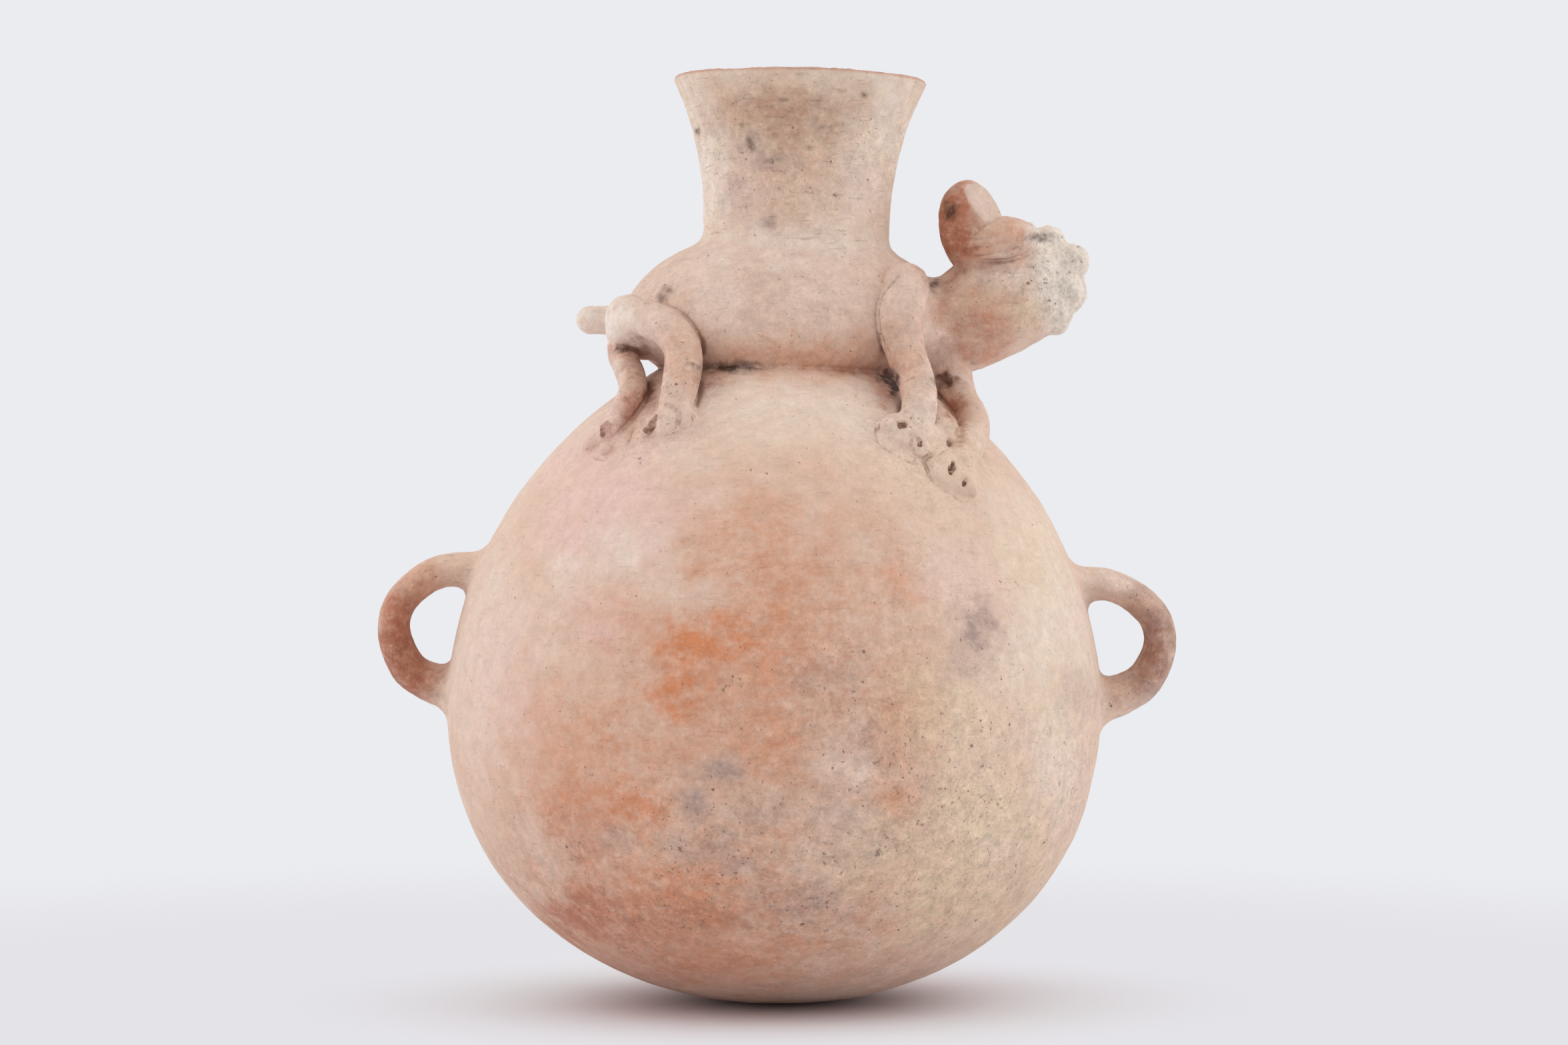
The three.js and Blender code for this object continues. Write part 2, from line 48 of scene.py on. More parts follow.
COARSE = 1.0  # mesh size factor

# Sizes of the clay, in millimetres: the CAD's, some of them fitted closer to the photo
GLOBE_RADIUS = 105.0
EQUATOR = 96.0
BOWL_DROP = 96.4
CROWN_RISE = 117.0
BOWL_FULLNESS = 2.17
CROWN_FULLNESS = 1.85
GLOBE_WALL = 6.0
FOOT_DRIFT = 2.2  # the foot sits a little off the globe's axis, towards the head
SHOULDER_DRIFT = 0.9  # and so does the shoulder
SHOULDER_SPAN = 80.0  # height over which the shoulder's drift grows
FLOOR_SHARE = 0.75  # the floor's thickness over the wall's

TRUNK_CENTRE = np.array([3.8, 0.0, 214.0])
TRUNK_HALF = np.array([54.0, 44.0, 34.8])
TRUNK_KEEL = 26.0
KEEL_TAPER = 1.2
TRUNK_WALL = 6.0
TIP_ROUNDING = 0.03  # keeps the trunk's two ends from coming to a point

SPOUT_FOOT = np.array([7.3, 0.0, 249.5])
SPOUT_LEAN = math.radians(1.3)
SPOUT_HEIGHT = 47.0
WAIST_RADIUS = 30.0
RIM_RADIUS = 41.0
FLARE_POWER = 2.1
SPOUT_WALL = 4.5
RIM_WALL = 2.2
THROAT_BOTTOM = 150.0  # where the way up through the spout starts, in the globe
INNER_EDGE = 1.2  # rounding where the outside meets the hollow

LEG_RADIUS = 6.0
HEAD_POINTS = [(45.8, 0, 214), (61.3, 0, 218.8), (71.3, 0, 224.8), (76.8, 0, 227.8)]
HEAD_RADII = [15.5, 16.6, 18.0, 17.8]

# The camera's place, in millimetres. It looks level along +Y.
CAMERA = np.array([3.2, -1343.0, 153.7])
CAMERA_LENS = 95.6


# Distance fields. x, y and z are arrays that broadcast against each other, in millimetres.

def smooth_union(a, b, reach):
    share = np.clip(0.5 + 0.5 * (b - a) / reach, 0, 1)
    return b + (a - b) * share - reach * share * (1 - share)


def smooth_cut(a, b, reach):
    """a without b."""
    return -smooth_union(-a, b, reach)


def globe(x, y, z, inset=0.0):
    above = z >= EQUATOR
    power = np.where(above, CROWN_FULLNESS, BOWL_FULLNESS).astype(np.float32)
    half = np.where(above, CROWN_RISE, BOWL_DROP).astype(np.float32) - inset
    radius = GLOBE_RADIUS - inset
    below = np.clip((EQUATOR - z) / EQUATOR, 0, 1)
    drift = FOOT_DRIFT * below**3 + SHOULDER_DRIFT * np.clip((z - EQUATOR) / SHOULDER_SPAN, 0, 1)
    across = np.sqrt((x - drift) ** 2 + y * y) / radius
    up = np.abs(z - EQUATOR) / half
    reach = np.maximum((across**power + up**power) ** (1 / power), 1e-3)
    slope = np.hypot(across ** (power - 1) / radius, up ** (power - 1) / half) * reach ** (1 - power)
    return np.maximum((reach - 1) / np.maximum(slope, 1e-4), -z + inset * FLOOR_SHARE)


def egg_reach(x, y, z, half, keel):
    """1 on the trunk's surface, less inside it."""
    along = x / half[0]
    left = 1 - along * along
    girth = np.sqrt(0.5 * (left + np.sqrt(left * left + TIP_ROUNDING)))
    rise = np.where(z >= 0, half[2], keel * girth**KEEL_TAPER)
    return np.sqrt(along**2 + (y / half[1]) ** 2 + (z / rise) ** 2)


def trunk(x, y, z, inset=0.0):
    half = TRUNK_HALF - inset
    keel = TRUNK_KEEL - inset
    x, y, z = x - TRUNK_CENTRE[0], y - TRUNK_CENTRE[1], z - TRUNK_CENTRE[2]
    reach = egg_reach(x, y, z, half, keel)
    step = 0.4
    slope_x = egg_reach(x + step, y, z, half, keel) - reach
    slope_y = egg_reach(x, y + step, z, half, keel) - reach
    slope_z = egg_reach(x, y, z + step, half, keel) - reach
    slope = np.sqrt(slope_x**2 + slope_y**2 + slope_z**2) / step
    return np.maximum((reach - 1) / np.maximum(slope, 0.012), np.abs(x) - half[0])


def spout_frame(x, y, z):
    """Distance from the leaning axis and height along it."""
    x, z = x - SPOUT_FOOT[0], z - SPOUT_FOOT[2]
    side = x * math.cos(SPOUT_LEAN) - z * math.sin(SPOUT_LEAN)
    height = x * math.sin(SPOUT_LEAN) + z * math.cos(SPOUT_LEAN)
    return np.sqrt(side * side + y * y), height


def spout_wall(height):
    """Radius of the wall's middle and half its thickness at a height."""
    share = np.clip(height / SPOUT_HEIGHT, 0, 1)
    outer = WAIST_RADIUS + (RIM_RADIUS - WAIST_RADIUS) * share**FLARE_POWER
    thick = SPOUT_WALL + (RIM_WALL - SPOUT_WALL) * share
    return outer - thick / 2, thick / 2


def spout(x, y, z):
    across, height = spout_frame(x, y, z)
    top = SPOUT_HEIGHT - RIM_WALL / 2
    middle, half = spout_wall(np.minimum(height, top))
    over = np.maximum(height - top, 0)
    under = np.maximum(-TRUNK_HALF[2] / 2 - height, 0)
    return np.sqrt((across - middle) ** 2 + over**2 + under**2) - half


def hollow(x, y, z):
    """The space inside: globe, trunk and the straight way up through the spout."""
    across, height = spout_frame(x, y, z)
    middle, half = spout_wall(height)
    bore = np.maximum(across - (middle - half), THROAT_BOTTOM - z)
    room = np.maximum(trunk(x, y, z, TRUNK_WALL), -globe(x, y, z))
    return np.minimum(np.minimum(globe(x, y, z, GLOBE_WALL), room), bore)


def smooth_path(points, radii, steps):
    """Catmull-Rom points through the given ones, with their radii."""
    points, radii = np.asarray(points, float), np.asarray(radii, float)
    padded = np.vstack([2 * points[0] - points[1], points, 2 * points[-1] - points[-2]])
    path, sizes = [], []
    for i in range(len(points) - 1):
        p0, p1, p2, p3 = padded[i : i + 4]
        for t in np.arange(steps) / steps:
            bend = (2 * p0 - 5 * p1 + 4 * p2 - p3) * t**2 + (3 * p1 - p0 - 3 * p2 + p3) * t**3
            path.append(0.5 * (2 * p1 + (p2 - p0) * t + bend))
            sizes.append(radii[i] + (radii[i + 1] - radii[i]) * t)
    return np.array(path + [points[-1]]), np.array(sizes + [radii[-1]])


def roll(points, radii, steps=5):
    """A roll of clay along a smooth path, as a field with its box."""
    path, sizes = smooth_path(points, radii, steps)

    def field(x, y, z):
        nearest = None
        for a, b, ra, rb in zip(path[:-1], path[1:], sizes[:-1], sizes[1:]):
            run = b - a
            px, py, pz = x - a[0], y - a[1], z - a[2]
            share = np.clip((px * run[0] + py * run[1] + pz * run[2]) / run.dot(run), 0, 1)
            gap = (px - share * run[0]) ** 2 + (py - share * run[1]) ** 2 + (pz - share * run[2]) ** 2
            distance = np.sqrt(gap) - (ra + share * (rb - ra))
            nearest = distance if nearest is None else np.minimum(nearest, distance)
        return nearest

    return field, (path - sizes[:, None]).min(0), (path + sizes[:, None]).max(0)


def strap(points, radii, breadth):
    """A strap in the XZ plane whose section is breadth times as wide as it is thick."""
    points = [(x, 0, z) for x, z in points]
    flat, low, high = roll(points, radii)
    thick = float(np.mean(radii))

    def field(x, y, z):
        across = np.maximum((flat(x, 0.0 * y, z) + thick) / thick, 0)
        return (np.sqrt(across**2 + (y / (breadth * thick)) ** 2) - 1) * thick

    wide = np.array([0, max(radii) * (breadth - 1), 0])
    return field, low - wide, high + wide


def lump(centre, half, axes=np.eye(3)):
    """An ellipsoid with its half sizes along the rows of axes."""
    centre, half = np.asarray(centre, float), np.asarray(half, float)

    def field(x, y, z):
        px, py, pz = x - centre[0], y - centre[1], z - centre[2]
        local = [px * axis[0] + py * axis[1] + pz * axis[2] for axis in axes]
        near = np.sqrt(sum((value / size) ** 2 for value, size in zip(local, half)))
        slope = np.sqrt(sum((value / size**2) ** 2 for value, size in zip(local, half)))
        return near * (near - 1) / np.maximum(slope, 1e-4)

    reach = np.sqrt(((axes * half[:, None]) ** 2).sum(0))
    return field, centre - reach, centre + reach


def grain(points, size, seed):
    """Smooth noise between about -1 and 1."""
    rng = np.random.default_rng(seed)
    slopes = rng.normal(size=(256, 3))
    slopes /= np.linalg.norm(slopes, axis=1)[:, None]
    order = rng.permutation(256)
    place = points / size + rng.uniform(0, 100, 3)
    cell = np.floor(place).astype(np.int64)
    inside = place - cell
    ease = inside**3 * (inside * (inside * 6 - 15) + 10)
    total = np.zeros(len(points))
    for corner in np.ndindex(2, 2, 2):
        corner = np.array(corner)
        key = order[(cell[:, 0] + corner[0]) & 255]
        key = order[(key + cell[:, 1] + corner[1]) & 255]
        key = order[(key + cell[:, 2] + corner[2]) & 255]
        weight = np.prod(np.where(corner, ease, 1 - ease), axis=1)
        total += weight * np.einsum("ij,ij->i", slopes[key], inside - corner)
    return total * 1.6


def layered(points, layers):
    """Noises on top of each other, each given as height, size and seed."""
    return sum(height * grain(points, size, seed) for height, size, seed in layers)


def ragged(shape, amount, size):
    """A field whose surface is roughened by noise."""
    smooth, low, high = shape

    def field(x, y, z):
        whole = smooth(x, y, z)
        spots = np.stack([np.broadcast_to(axis, whole.shape).ravel() for axis in (x, y, z)], 1)
        rough = layered(spots, [(1, size, 41), (0.5, 0.45 * size, 42)])
        return whole + amount * rough.reshape(whole.shape)

    return field, low - amount, high + amount


def joined(shapes, reach):
    """Several fields run together into one."""

    def field(x, y, z):
        whole = shapes[0][0](x, y, z)
        for shape in shapes[1:]:
            whole = smooth_union(whole, shape[0](x, y, z), reach)
        return whole

    return field, np.min([s[1] for s in shapes], axis=0), np.max([s[2] for s in shapes], axis=0)


# Places on the trunk, on the globe, and on whatever clay shows at a place in front view

def on_trunk(along, degrees, off):
    share = max(-1.0, min(1.0, along))
    girth = math.sqrt(1 - share * share)
    turn = math.radians(degrees)
    section = np.array([0, -math.sin(turn), math.cos(turn)])
    rise = TRUNK_HALF[2] if section[2] >= 0 else TRUNK_KEEL * girth**KEEL_TAPER
    half = np.array([TRUNK_HALF[0], TRUNK_HALF[1], rise])
    point = np.array([along, section[1] * girth, section[2] * girth]) * half
    return TRUNK_CENTRE + point + section * off


def over_globe(share_x, share_y, over):
    x, y = share_x * GLOBE_RADIUS, share_y * GLOBE_RADIUS
    share = 1 - min(math.hypot(share_x, share_y), 1) ** CROWN_FULLNESS
    return np.array([x, y, EQUATOR + CROWN_RISE * share ** (1 / CROWN_FULLNESS) + over])


def seen(places, field):
    """The clay's points behind places (x, z) of the plane y = 0, as seen from the camera."""
    step = 0.5
    depths = np.arange(-112, 40, step)
    share = (depths - CAMERA[1]) / -CAMERA[1]
    places = np.asarray(places, float)
    x = CAMERA[0] + (places[:, :1] - CAMERA[0]) * share
    z = CAMERA[2] + (places[:, 1:] - CAMERA[2]) * share
    y = np.broadcast_to(depths, x.shape)
    distance = field(x.ravel(), y.ravel(), z.ravel()).reshape(x.shape)
    first = np.argmax(distance < 0, axis=1)
    rows = np.arange(len(places))
    before, after = distance[rows, first - 1], distance[rows, first]
    back = step * after / np.minimum(after - before, -1e-6)
    y_hit = depths[first] - back
    share = (y_hit - CAMERA[1]) / -CAMERA[1]
    x_hit = CAMERA[0] + (places[:, 0] - CAMERA[0]) * share
    z_hit = CAMERA[2] + (places[:, 1] - CAMERA[2]) * share
    return np.stack([x_hit, y_hit, z_hit], 1)


def slope_of(points, field, step=0.3):
    """Unit normals of a field at points."""
    normals = np.zeros_like(points)
    for i in range(3):
        shift = np.zeros(3)
        shift[i] = step
        normals[:, i] = field(*(points + shift).T) - field(*(points - shift).T)
    return normals / np.linalg.norm(normals, axis=1)[:, None]


def marks(places, field, lean=0.0):
    """For places in front view: the clay's points and axes (level, upward, out of the clay)."""
    points = seen(places, field)
    found = []
    for point, normal in zip(points, slope_of(points, field)):
        level = np.cross([0, 0, 1], normal) * -1
        level /= np.linalg.norm(level)
        upward = np.cross(level, normal)
        if upward[2] < 0:
            upward = -upward
        turn = math.radians(lean)
        axes = np.array([level * math.cos(turn) - upward * math.sin(turn),
                         upward * math.cos(turn) + level * math.sin(turn), normal])
        found.append((point, axes))
    return found


# Legs. trunk and globe give a leg's path as in the CAD: places on the trunk (along, degrees down from
# the back, leg radii off it), then over the globe (shares of its radius, leg radii over it).
LEGS = {
    "foreleg_right": {
        "trunk": [(0.70, 57, 0.2), (0.665, 82, 0.5), (0.69, 107, 1.1)],
        "globe": [(0.419, -0.41, 2), (0.431, -0.457, 1.5), (0.421, -0.505, 0.83), (0.404, -0.519, 0.17)],
        "thickness": [1.22, 1.22, 1.02, 0.96, 0.92, 0.9, 0.9],
    },
    "foreleg_left": {
        "trunk": [(1, 140, 1), (1, 150, 2.17)],
        "globe": [(0.564, -0.124, 0.9), (0.593, -0.19, 0.53), (0.594, -0.295, 0.33), (0.571, -0.4, 0.25),
                  (0.543, -0.486, 0.1)],
        "thickness": [0.9, 0.95, 0.98, 0.98, 0.95, 0.9, 0.85],
        "webs": [((54, -3, 199), (8, 8, 13))],
    },
    "hindleg_right": {
        "trunk": [(-0.94, 60, 0), (-0.82, 79, 0.4), (-0.68, 89, 0.57), (-0.6, 106, 1)],
        "globe": [(-0.27, -0.429, 1.33), (-0.278, -0.476, 0.9), (-0.289, -0.519, 0.57),
                  (-0.295, -0.543, 0.1)],
        "thickness": [0.83, 0.97, 1, 1, 1, 0.97, 0.93, 0.9],
        "webs": [((-46, -13, 216.5), (8, 12, 9.5)), ((-39.5, -10, 212), (9, 10, 6.2))],
    },
    "hindleg_left": {
        "trunk": [(-0.86, 104, -0.4), (-0.95, 116, 0.6), (-0.965, 130, 1.5)],
        "globe": [(-0.427, -0.267, 0.83), (-0.425, -0.338, 0.5), (-0.453, -0.39, 0.33),
                  (-0.484, -0.41, 0.1)],
        "thickness": [0.73, 0.8, 0.78, 0.77, 0.75, 0.75, 0.7],
    },
}

# Paws, in front view, in millimetres. pads: x, z, half width, half height, thickness, lean in degrees.
# toes: x, z, radius. holes: x, z, half width, half height, depth, lean. cracks: lines of x, z.
PAWS = {
    "forepaw_right": {
        "pads": [(45, 182, 11.5, 8.5, 4.2, -22), (53.6, 184.6, 6.6, 9, 4.6, -25)],
        "toes": [(36.2, 183.8, 2.9), (43.2, 181.4, 3.2), (46.4, 176.2, 2.8)],
        "holes": [(41.3, 185.5, 1.7, 1.5, 2.4, 0), (47, 179.6, 1.2, 1.8, 1.8, 0)],
        "cracks": [[(33.4, 185.5), (32.9, 182), (33.6, 179.4), (38.5, 176), (41.9, 174.2), (45.4, 172.8),
                    (49, 174)],
                   [(43.9, 178.6), (44.6, 180.4), (46.2, 181.8)]],
    },
    "forepaw_left": {
        "pads": [(57.6, 170, 10, 9, 3.6, -35)],
        "toes": [(54.4, 171.6, 3.4), (60, 167, 2.8), (62.8, 163.4, 2.3)],
        "holes": [(57.6, 171.4, 1.1, 2.7, 2, -32), (61.5, 166.4, 0.8, 1.3, 1.4, -30)],
        "cracks": [[(48.4, 173), (50.4, 168.2), (53.6, 165), (57.2, 162.8), (60.4, 160.6), (63, 160.4)],
                   [(49.6, 175), (53, 175.6), (56, 177.4)]],
    },
    "hindpaw_right": {
        "pads": [(-33.2, 187, 9, 7.6, 3.6, -6)],
        "toes": [(-34.6, 187, 3.3), (-28.4, 186.2, 3), (-40.6, 181.8, 2)],
        "holes": [(-39.4, 185.3, 1.9, 3.4, 2.6, -20)],
        "cracks": [[(-26.8, 189.6), (-25.6, 186.8), (-26.6, 182.6)]],
    },
    "hindpaw_left": {
        "pads": [(-54.4, 182.8, 5.8, 9.5, 3.2, -28)],
        "toes": [(-58.6, 178, 2.4), (-53.6, 176.6, 2.2)],
        "holes": [(-54.2, 183.2, 2.2, 3.2, 2.3, -30)],
        "cracks": [[(-45.8, 182.6), (-46.6, 180.2), (-47.8, 177.4)],
                   [(-60.2, 177.2), (-58, 174.6), (-54.4, 173.8)]],
    },
}

# Folds below the brow and a scratch across the muzzle: lines of x, z in front view, and their radius
FOLDS = [
    ([(61.6, 241.2), (66.5, 242.4), (71.5, 243.4), (76, 244.4), (80.5, 245.6), (84, 246.4)], 0.6),
    ([(62, 239.8), (68.6, 239.8), (74.8, 240.9), (80, 243)], 0.6),
    ([(64, 244.8), (68.4, 245.6), (72, 246.4)], 0.4),
    ([(81.5, 236.7), (84.7, 234.8), (87.3, 232.6)], 0.5),
]

# Open joints and small creases, as lines of x, z in front view with their radius, and hollows left
# between the pieces, as holes like the paws'
OPEN_JOINTS = [
    ([(40.2, 232.9), (37.4, 229.9), (35, 226.5), (34.1, 222.7), (34, 218.8), (34.6, 214.6),
      (36.1, 210.7), (38, 206.9)], 0.8),
    ([(45.4, 203.9), (47.6, 205), (48.9, 204.7)], 0.35),
    ([(42.5, 198.8), (44.2, 200.1), (46.7, 200.7)], 0.35),
    ([(72, 252), (70.4, 250.9), (66.5, 248.7), (63.6, 245.6), (62.1, 242.7)], 0.45),
    ([(-35, 191.8), (-32.6, 191), (-30.6, 188.4), (-31.2, 185.2), (-32.4, 183.6)], 0.7),
]
HOLLOWS = [
    (53.8, 200.6, 2.2, 1.2, 1.6, 0), (55.8, 198.4, 1.6, 1.6, 1.6, 0), (58.2, 200.2, 1.2, 1, 1, 0),
]

# Handles: the middle line of each strap, as x, z, from its upper root to its lower one
HANDLES = {
    "handle_left": [(-87, 137), (-106.5, 138.2), (-119, 130), (-122.6, 119.7), (-119.2, 108.8),
                    (-112.8, 103.1), (-100.8, 99)],
    "handle_right": [(87, 132.5), (107.6, 133.6), (120.8, 125.6), (124.4, 115.5), (120.7, 104.7),
                     (113.5, 99), (101, 95)],
}
HANDLE_RADII = np.array([1.3, 1.03, 1, 1, 1.12, 1.22, 1.5]) * 5.0
HANDLE_BREADTH = 1.59  # a strap's width over its thickness
LEG_BLEND = 4.0  # how softly a leg's roll and webs run together
PAW_BLEND = 1.6  # and a paw's pads and toes
LUMP_BLEND = 3.0  # and the lumps of an ear and of the muzzle
TOE_RISE = 1.2  # toes stand this far out of the pads


class Piece:
    """One clay piece: its field and box, how far it flows into its neighbours and how far over them
    its own mesh reaches, the size of its mesh, and its material slot."""

    def __init__(self, node, shape, blend, claim, voxel, slot):
        self.node, self.blend, self.claim, self.slot = node, blend, claim, slot
        self.voxel = voxel * COARSE
        self.field, self.low, self.high = shape


def leg_shape(leg):
    points = [on_trunk(along, degrees, off * LEG_RADIUS) for along, degrees, off in leg["trunk"]]
    points += [over_globe(x, y, over * LEG_RADIUS) for x, y, over in leg["globe"]]
    parts = [roll(points, np.array(leg["thickness"]) * LEG_RADIUS)]
    parts += [lump(centre, half) for centre, half in leg.get("webs", [])]
    return joined(parts, LEG_BLEND)


def handle_shape(line):
    return strap(line, HANDLE_RADII, HANDLE_BREADTH)


def paw_shape(paw):
    shapes = []
    for x, z, wide, tall, thick, lean in paw["pads"]:
        (point, axes), = marks([(x, z)], globe, lean)
        shapes.append(lump(point, (wide, tall, thick), axes))
    places = marks([toe[:2] for toe in paw["toes"]], globe)
    for (_, _, radius), (point, axes) in zip(paw["toes"], places):
        shapes.append(lump(point + axes[2] * TOE_RISE, (radius, radius, radius), axes))
    return joined(shapes, PAW_BLEND)


EAR_CENTRE = np.array([63.0, 10.5, 248.9])
FAR_EAR_SHIFT = np.array([1.6, 0, -0.6])  # the far ear sits a little further forward
EAR_HALF = (10.2, 8.2, 13.9)
EAR_CUT = 7.9  # from the ear's middle to its flat front
EAR_SPLAY = math.radians(42)  # how far the front looks sideways
EAR_TILT = math.radians(31)  # and upwards
EAR_CROWN = (7.6, 6.6, 8.4)  # half sizes of the lump that rounds the ear's top
EAR_CROWN_OFFSET = np.array([-1.6, 0, 4.9])
EAR_EDGE = 0.7  # rounding of the edge round the flat front
EAR_FACE = 10.5  # the flat front's greatest reach
FACET_DEPTH, FACET_FADE = 0.9, 0.5  # how near the cut a point takes the front's colour


def ear_centre(side):
    """The middle of the near ear (side -1) or of the far one (side 1)."""
    return EAR_CENTRE * (1, side, 1) + (FAR_EAR_SHIFT if side > 0 else 0)


def ear_facing(side):
    """The way an ear's flat front looks."""
    level = math.cos(EAR_TILT)
    across = side * level * math.sin(EAR_SPLAY)
    return np.array([level * math.cos(EAR_SPLAY), across, math.sin(EAR_TILT)])


def ear_shape(side):
    centre = ear_centre(side)
    crown = lump(centre + EAR_CROWN_OFFSET, EAR_CROWN)
    body, low, high = joined([lump(centre, EAR_HALF), crown], LUMP_BLEND)
    front = ear_facing(side)

    def field(x, y, z):
        ahead = (x - centre[0]) * front[0] + (y - centre[1]) * front[1] + (z - centre[2]) * front[2]
        return smooth_cut(body(x, y, z), EAR_CUT - ahead, EAR_EDGE)

    return field, low, high


def ear_facet(points):
    """1 on the flat cut front of an ear, 0 elsewhere."""
    shown = np.zeros(len(points))
    for side in (-1, 1):
        offset = points - ear_centre(side)
        ahead = offset.dot(ear_facing(side)) - EAR_CUT
        aside = np.linalg.norm(offset - np.outer(ahead + EAR_CUT, ear_facing(side)), axis=1)
        on_front = np.clip((FACET_DEPTH - np.abs(ahead)) / FACET_FADE, 0, 1) * (aside < EAR_FACE)
        shown = np.maximum(shown, on_front)
    return shown


def brow_shape(side):
    """A roll laid from the ear's root to the muzzle."""
    line = [(66.2, side * 16.0, 242.9), (73.5, side * 14.0, 244.6), (80.5, side * 8.0, 244.2)]
    return roll(line, [5.2, 7.0, 5.8])


# Muzzle: middle and half sizes of its lumps
MUZZLE_LUMPS = [
    ((82, 0, 230.6), (16.5, 15.6, 16.4)),
    ((88, 0, 244.6), (6, 9, 4.8)),
    ((96.4, 0, 238), (5.2, 9, 5.6)),
    ((96.2, 0, 227.6), (4.6, 9.5, 5.4)),
    ((90.6, 0, 219), (4.6, 8.5, 4.6)),
]


def muzzle_shape():
    return joined([lump(centre, half) for centre, half in MUZZLE_LUMPS], LUMP_BLEND)


# Fields in their boxes
TRUNK_SHAPE = (trunk, TRUNK_CENTRE - TRUNK_HALF, TRUNK_CENTRE + TRUNK_HALF)
SPOUT_SHAPE = (spout, np.array([-34, -41, 230.0]), np.array([50, 41, 298.5]))
BOWL_SHAPE = (globe, np.array([-106.0, -106, -0.5]), np.array([108.0, 106, EQUATOR]))
DOME_SHAPE = (globe, np.array([-106.0, -106, EQUATOR]), np.array([108.0, 106, 217]))
TAIL_SHAPE = roll([(-40, 0, 219), (-59.4, 0, 219)], [5.0, 4.7])
HEAD_SHAPE = roll(HEAD_POINTS, HEAD_RADII)

EARS = {"ear_right": -1, "ear_left": 1}  # the animal's right is the near side
BROWS = {"brow_right": -1, "brow_left": 1}
GLOBE_VOXEL = 1.45  # keeps each half of the globe under 200,000 faces

PIECES = [
    Piece("animal_trunk", TRUNK_SHAPE, 1.0, 2.5, 0.8, "animal_clay"),
    Piece("spout", SPOUT_SHAPE, 4.0, 2.5, 0.75, "spout_clay"),
    Piece("animal_head", HEAD_SHAPE, 3.0, 3.5, 0.6, "animal_clay"),
    Piece("animal_tail", TAIL_SHAPE, 3.0, 5.0, 0.5, "animal_clay"),
    Piece("animal_muzzle", muzzle_shape(), 1.2, 4.0, 0.45, "worn_clay"),
]
# Pieces of a kind: tables of what each is made from, and what else a Piece takes
for made_from, shape, *rest in (
    (EARS, ear_shape, 4.0, 6.0, 0.45, "animal_clay"),
    (BROWS, brow_shape, 1.0, 5.0, 0.45, "animal_clay"),
    (LEGS, leg_shape, 0.7, 6.0, 0.42, "animal_clay"),
    (PAWS, paw_shape, 1.3, 7.0, 0.33, "animal_clay"),
    (HANDLES, handle_shape, 5.0, 3.0, 0.7, "body_clay"),
):
    PIECES += [Piece(name, shape(given), *rest) for name, given in made_from.items()]
BOWL = Piece("base_bowl", BOWL_SHAPE, 0, 0, GLOBE_VOXEL, "body_clay")
DOME = Piece("shoulder_dome", DOME_SHAPE, 0, 0, GLOBE_VOXEL, "body_clay")
CUTS = []  # filled below, because marks are placed on the uncut clay

# Past a joint a piece slips slowly under its neighbour, then ends
SLIP_SLOPE = 0.06
SLIP_REACH = 2.5
SEAM_SLOPE = 2  # how fast a half of the globe ends past the equator
FAR_OFF = 60  # distance to a piece that isn't near
FIELD_MARGIN = 8.0  # round a piece's box
CUT_MARGIN = 3


def window(x, y, z, low, high):
    """The part of a grid's axes, or of a list of points, that lies in a box."""
    if x.ndim == 1:
        inside = np.ones(len(x), bool)
        for axis, lo, hi in zip((x, y, z), low, high):
            inside &= (axis > lo) & (axis < hi)
        return (inside, x[inside], y[inside], z[inside]) if inside.any() else None
    spans = []
    for axis, lo, hi in zip((x, y, z), low, high):
        line = axis.ravel()
        span = slice(int(np.searchsorted(line, lo)), int(np.searchsorted(line, hi)))
        if span.start >= span.stop:
            return None
        spans.append(span)
    return tuple(spans), x[spans[0]], y[:, spans[1]], z[:, :, spans[2]]


def clay(x, y, z, piece=None):
    """Distance to the whole jar's clay, or to one piece's share of it."""
    shape = np.broadcast(x, y, z).shape
    whole = np.array(np.broadcast_to(globe(x, y, z), shape), dtype=np.float32)
    own = np.full(shape, FAR_OFF, np.float32)
    others = whole.copy()
    if piece in (BOWL, DOME):
        up = SEAM_SLOPE if piece is BOWL else -SEAM_SLOPE
        own = whole + np.maximum(up * (z - EQUATOR), 0)
        others = whole + np.maximum(up * (EQUATOR - z), 0)
    for other in PIECES:
        margin = other.blend + other.claim + FIELD_MARGIN
        part = window(x, y, z, other.low - margin, other.high + margin)
        if part is None:
            continue
        index, px, py, pz = part
        distance = other.field(px, py, pz)
        whole[index] = smooth_union(whole[index], distance, other.blend)
        if other is piece:
            own[index] = distance - other.claim
        else:
            others[index] = np.minimum(others[index], distance - other.claim)
    for (field, low, high), soft in CUTS:
        part = window(x, y, z, low - CUT_MARGIN, high + CUT_MARGIN)
        if part is not None:
            index, px, py, pz = part
            whole[index] = smooth_cut(whole[index], field(px, py, pz), soft)
    whole = smooth_cut(whole, hollow(x, y, z), INNER_EDGE)
    if piece is None:
        return whole
    past = np.maximum(own - others, 0)
    return whole + SLIP_SLOPE * past + np.maximum(past - SLIP_REACH, 0)


# Roughness of the cuts, as height and size of the noise, and how soft their edges are
CRACK_ROUGH, CRACK_EDGE = (0.25, 1.6), 0.2
FOLD_ROUGH, FOLD_EDGE, JOINT_EDGE = (0.2, 1.3), 0.8, 0.3
HOLE_ROUGH, HOLE_EDGE = (0.7, 1.7), 0.5
CRACK_RADIUS, CRACK_END = 0.4, 0.15
FOLD_END = 0.2


def groove(line, radius, end, rough):
    """A rough groove along a line in front view, running out at its end."""
    radii = [radius] * (len(line) - 1) + [end]
    return ragged(roll(seen(line, clay), radii, 4), *rough)


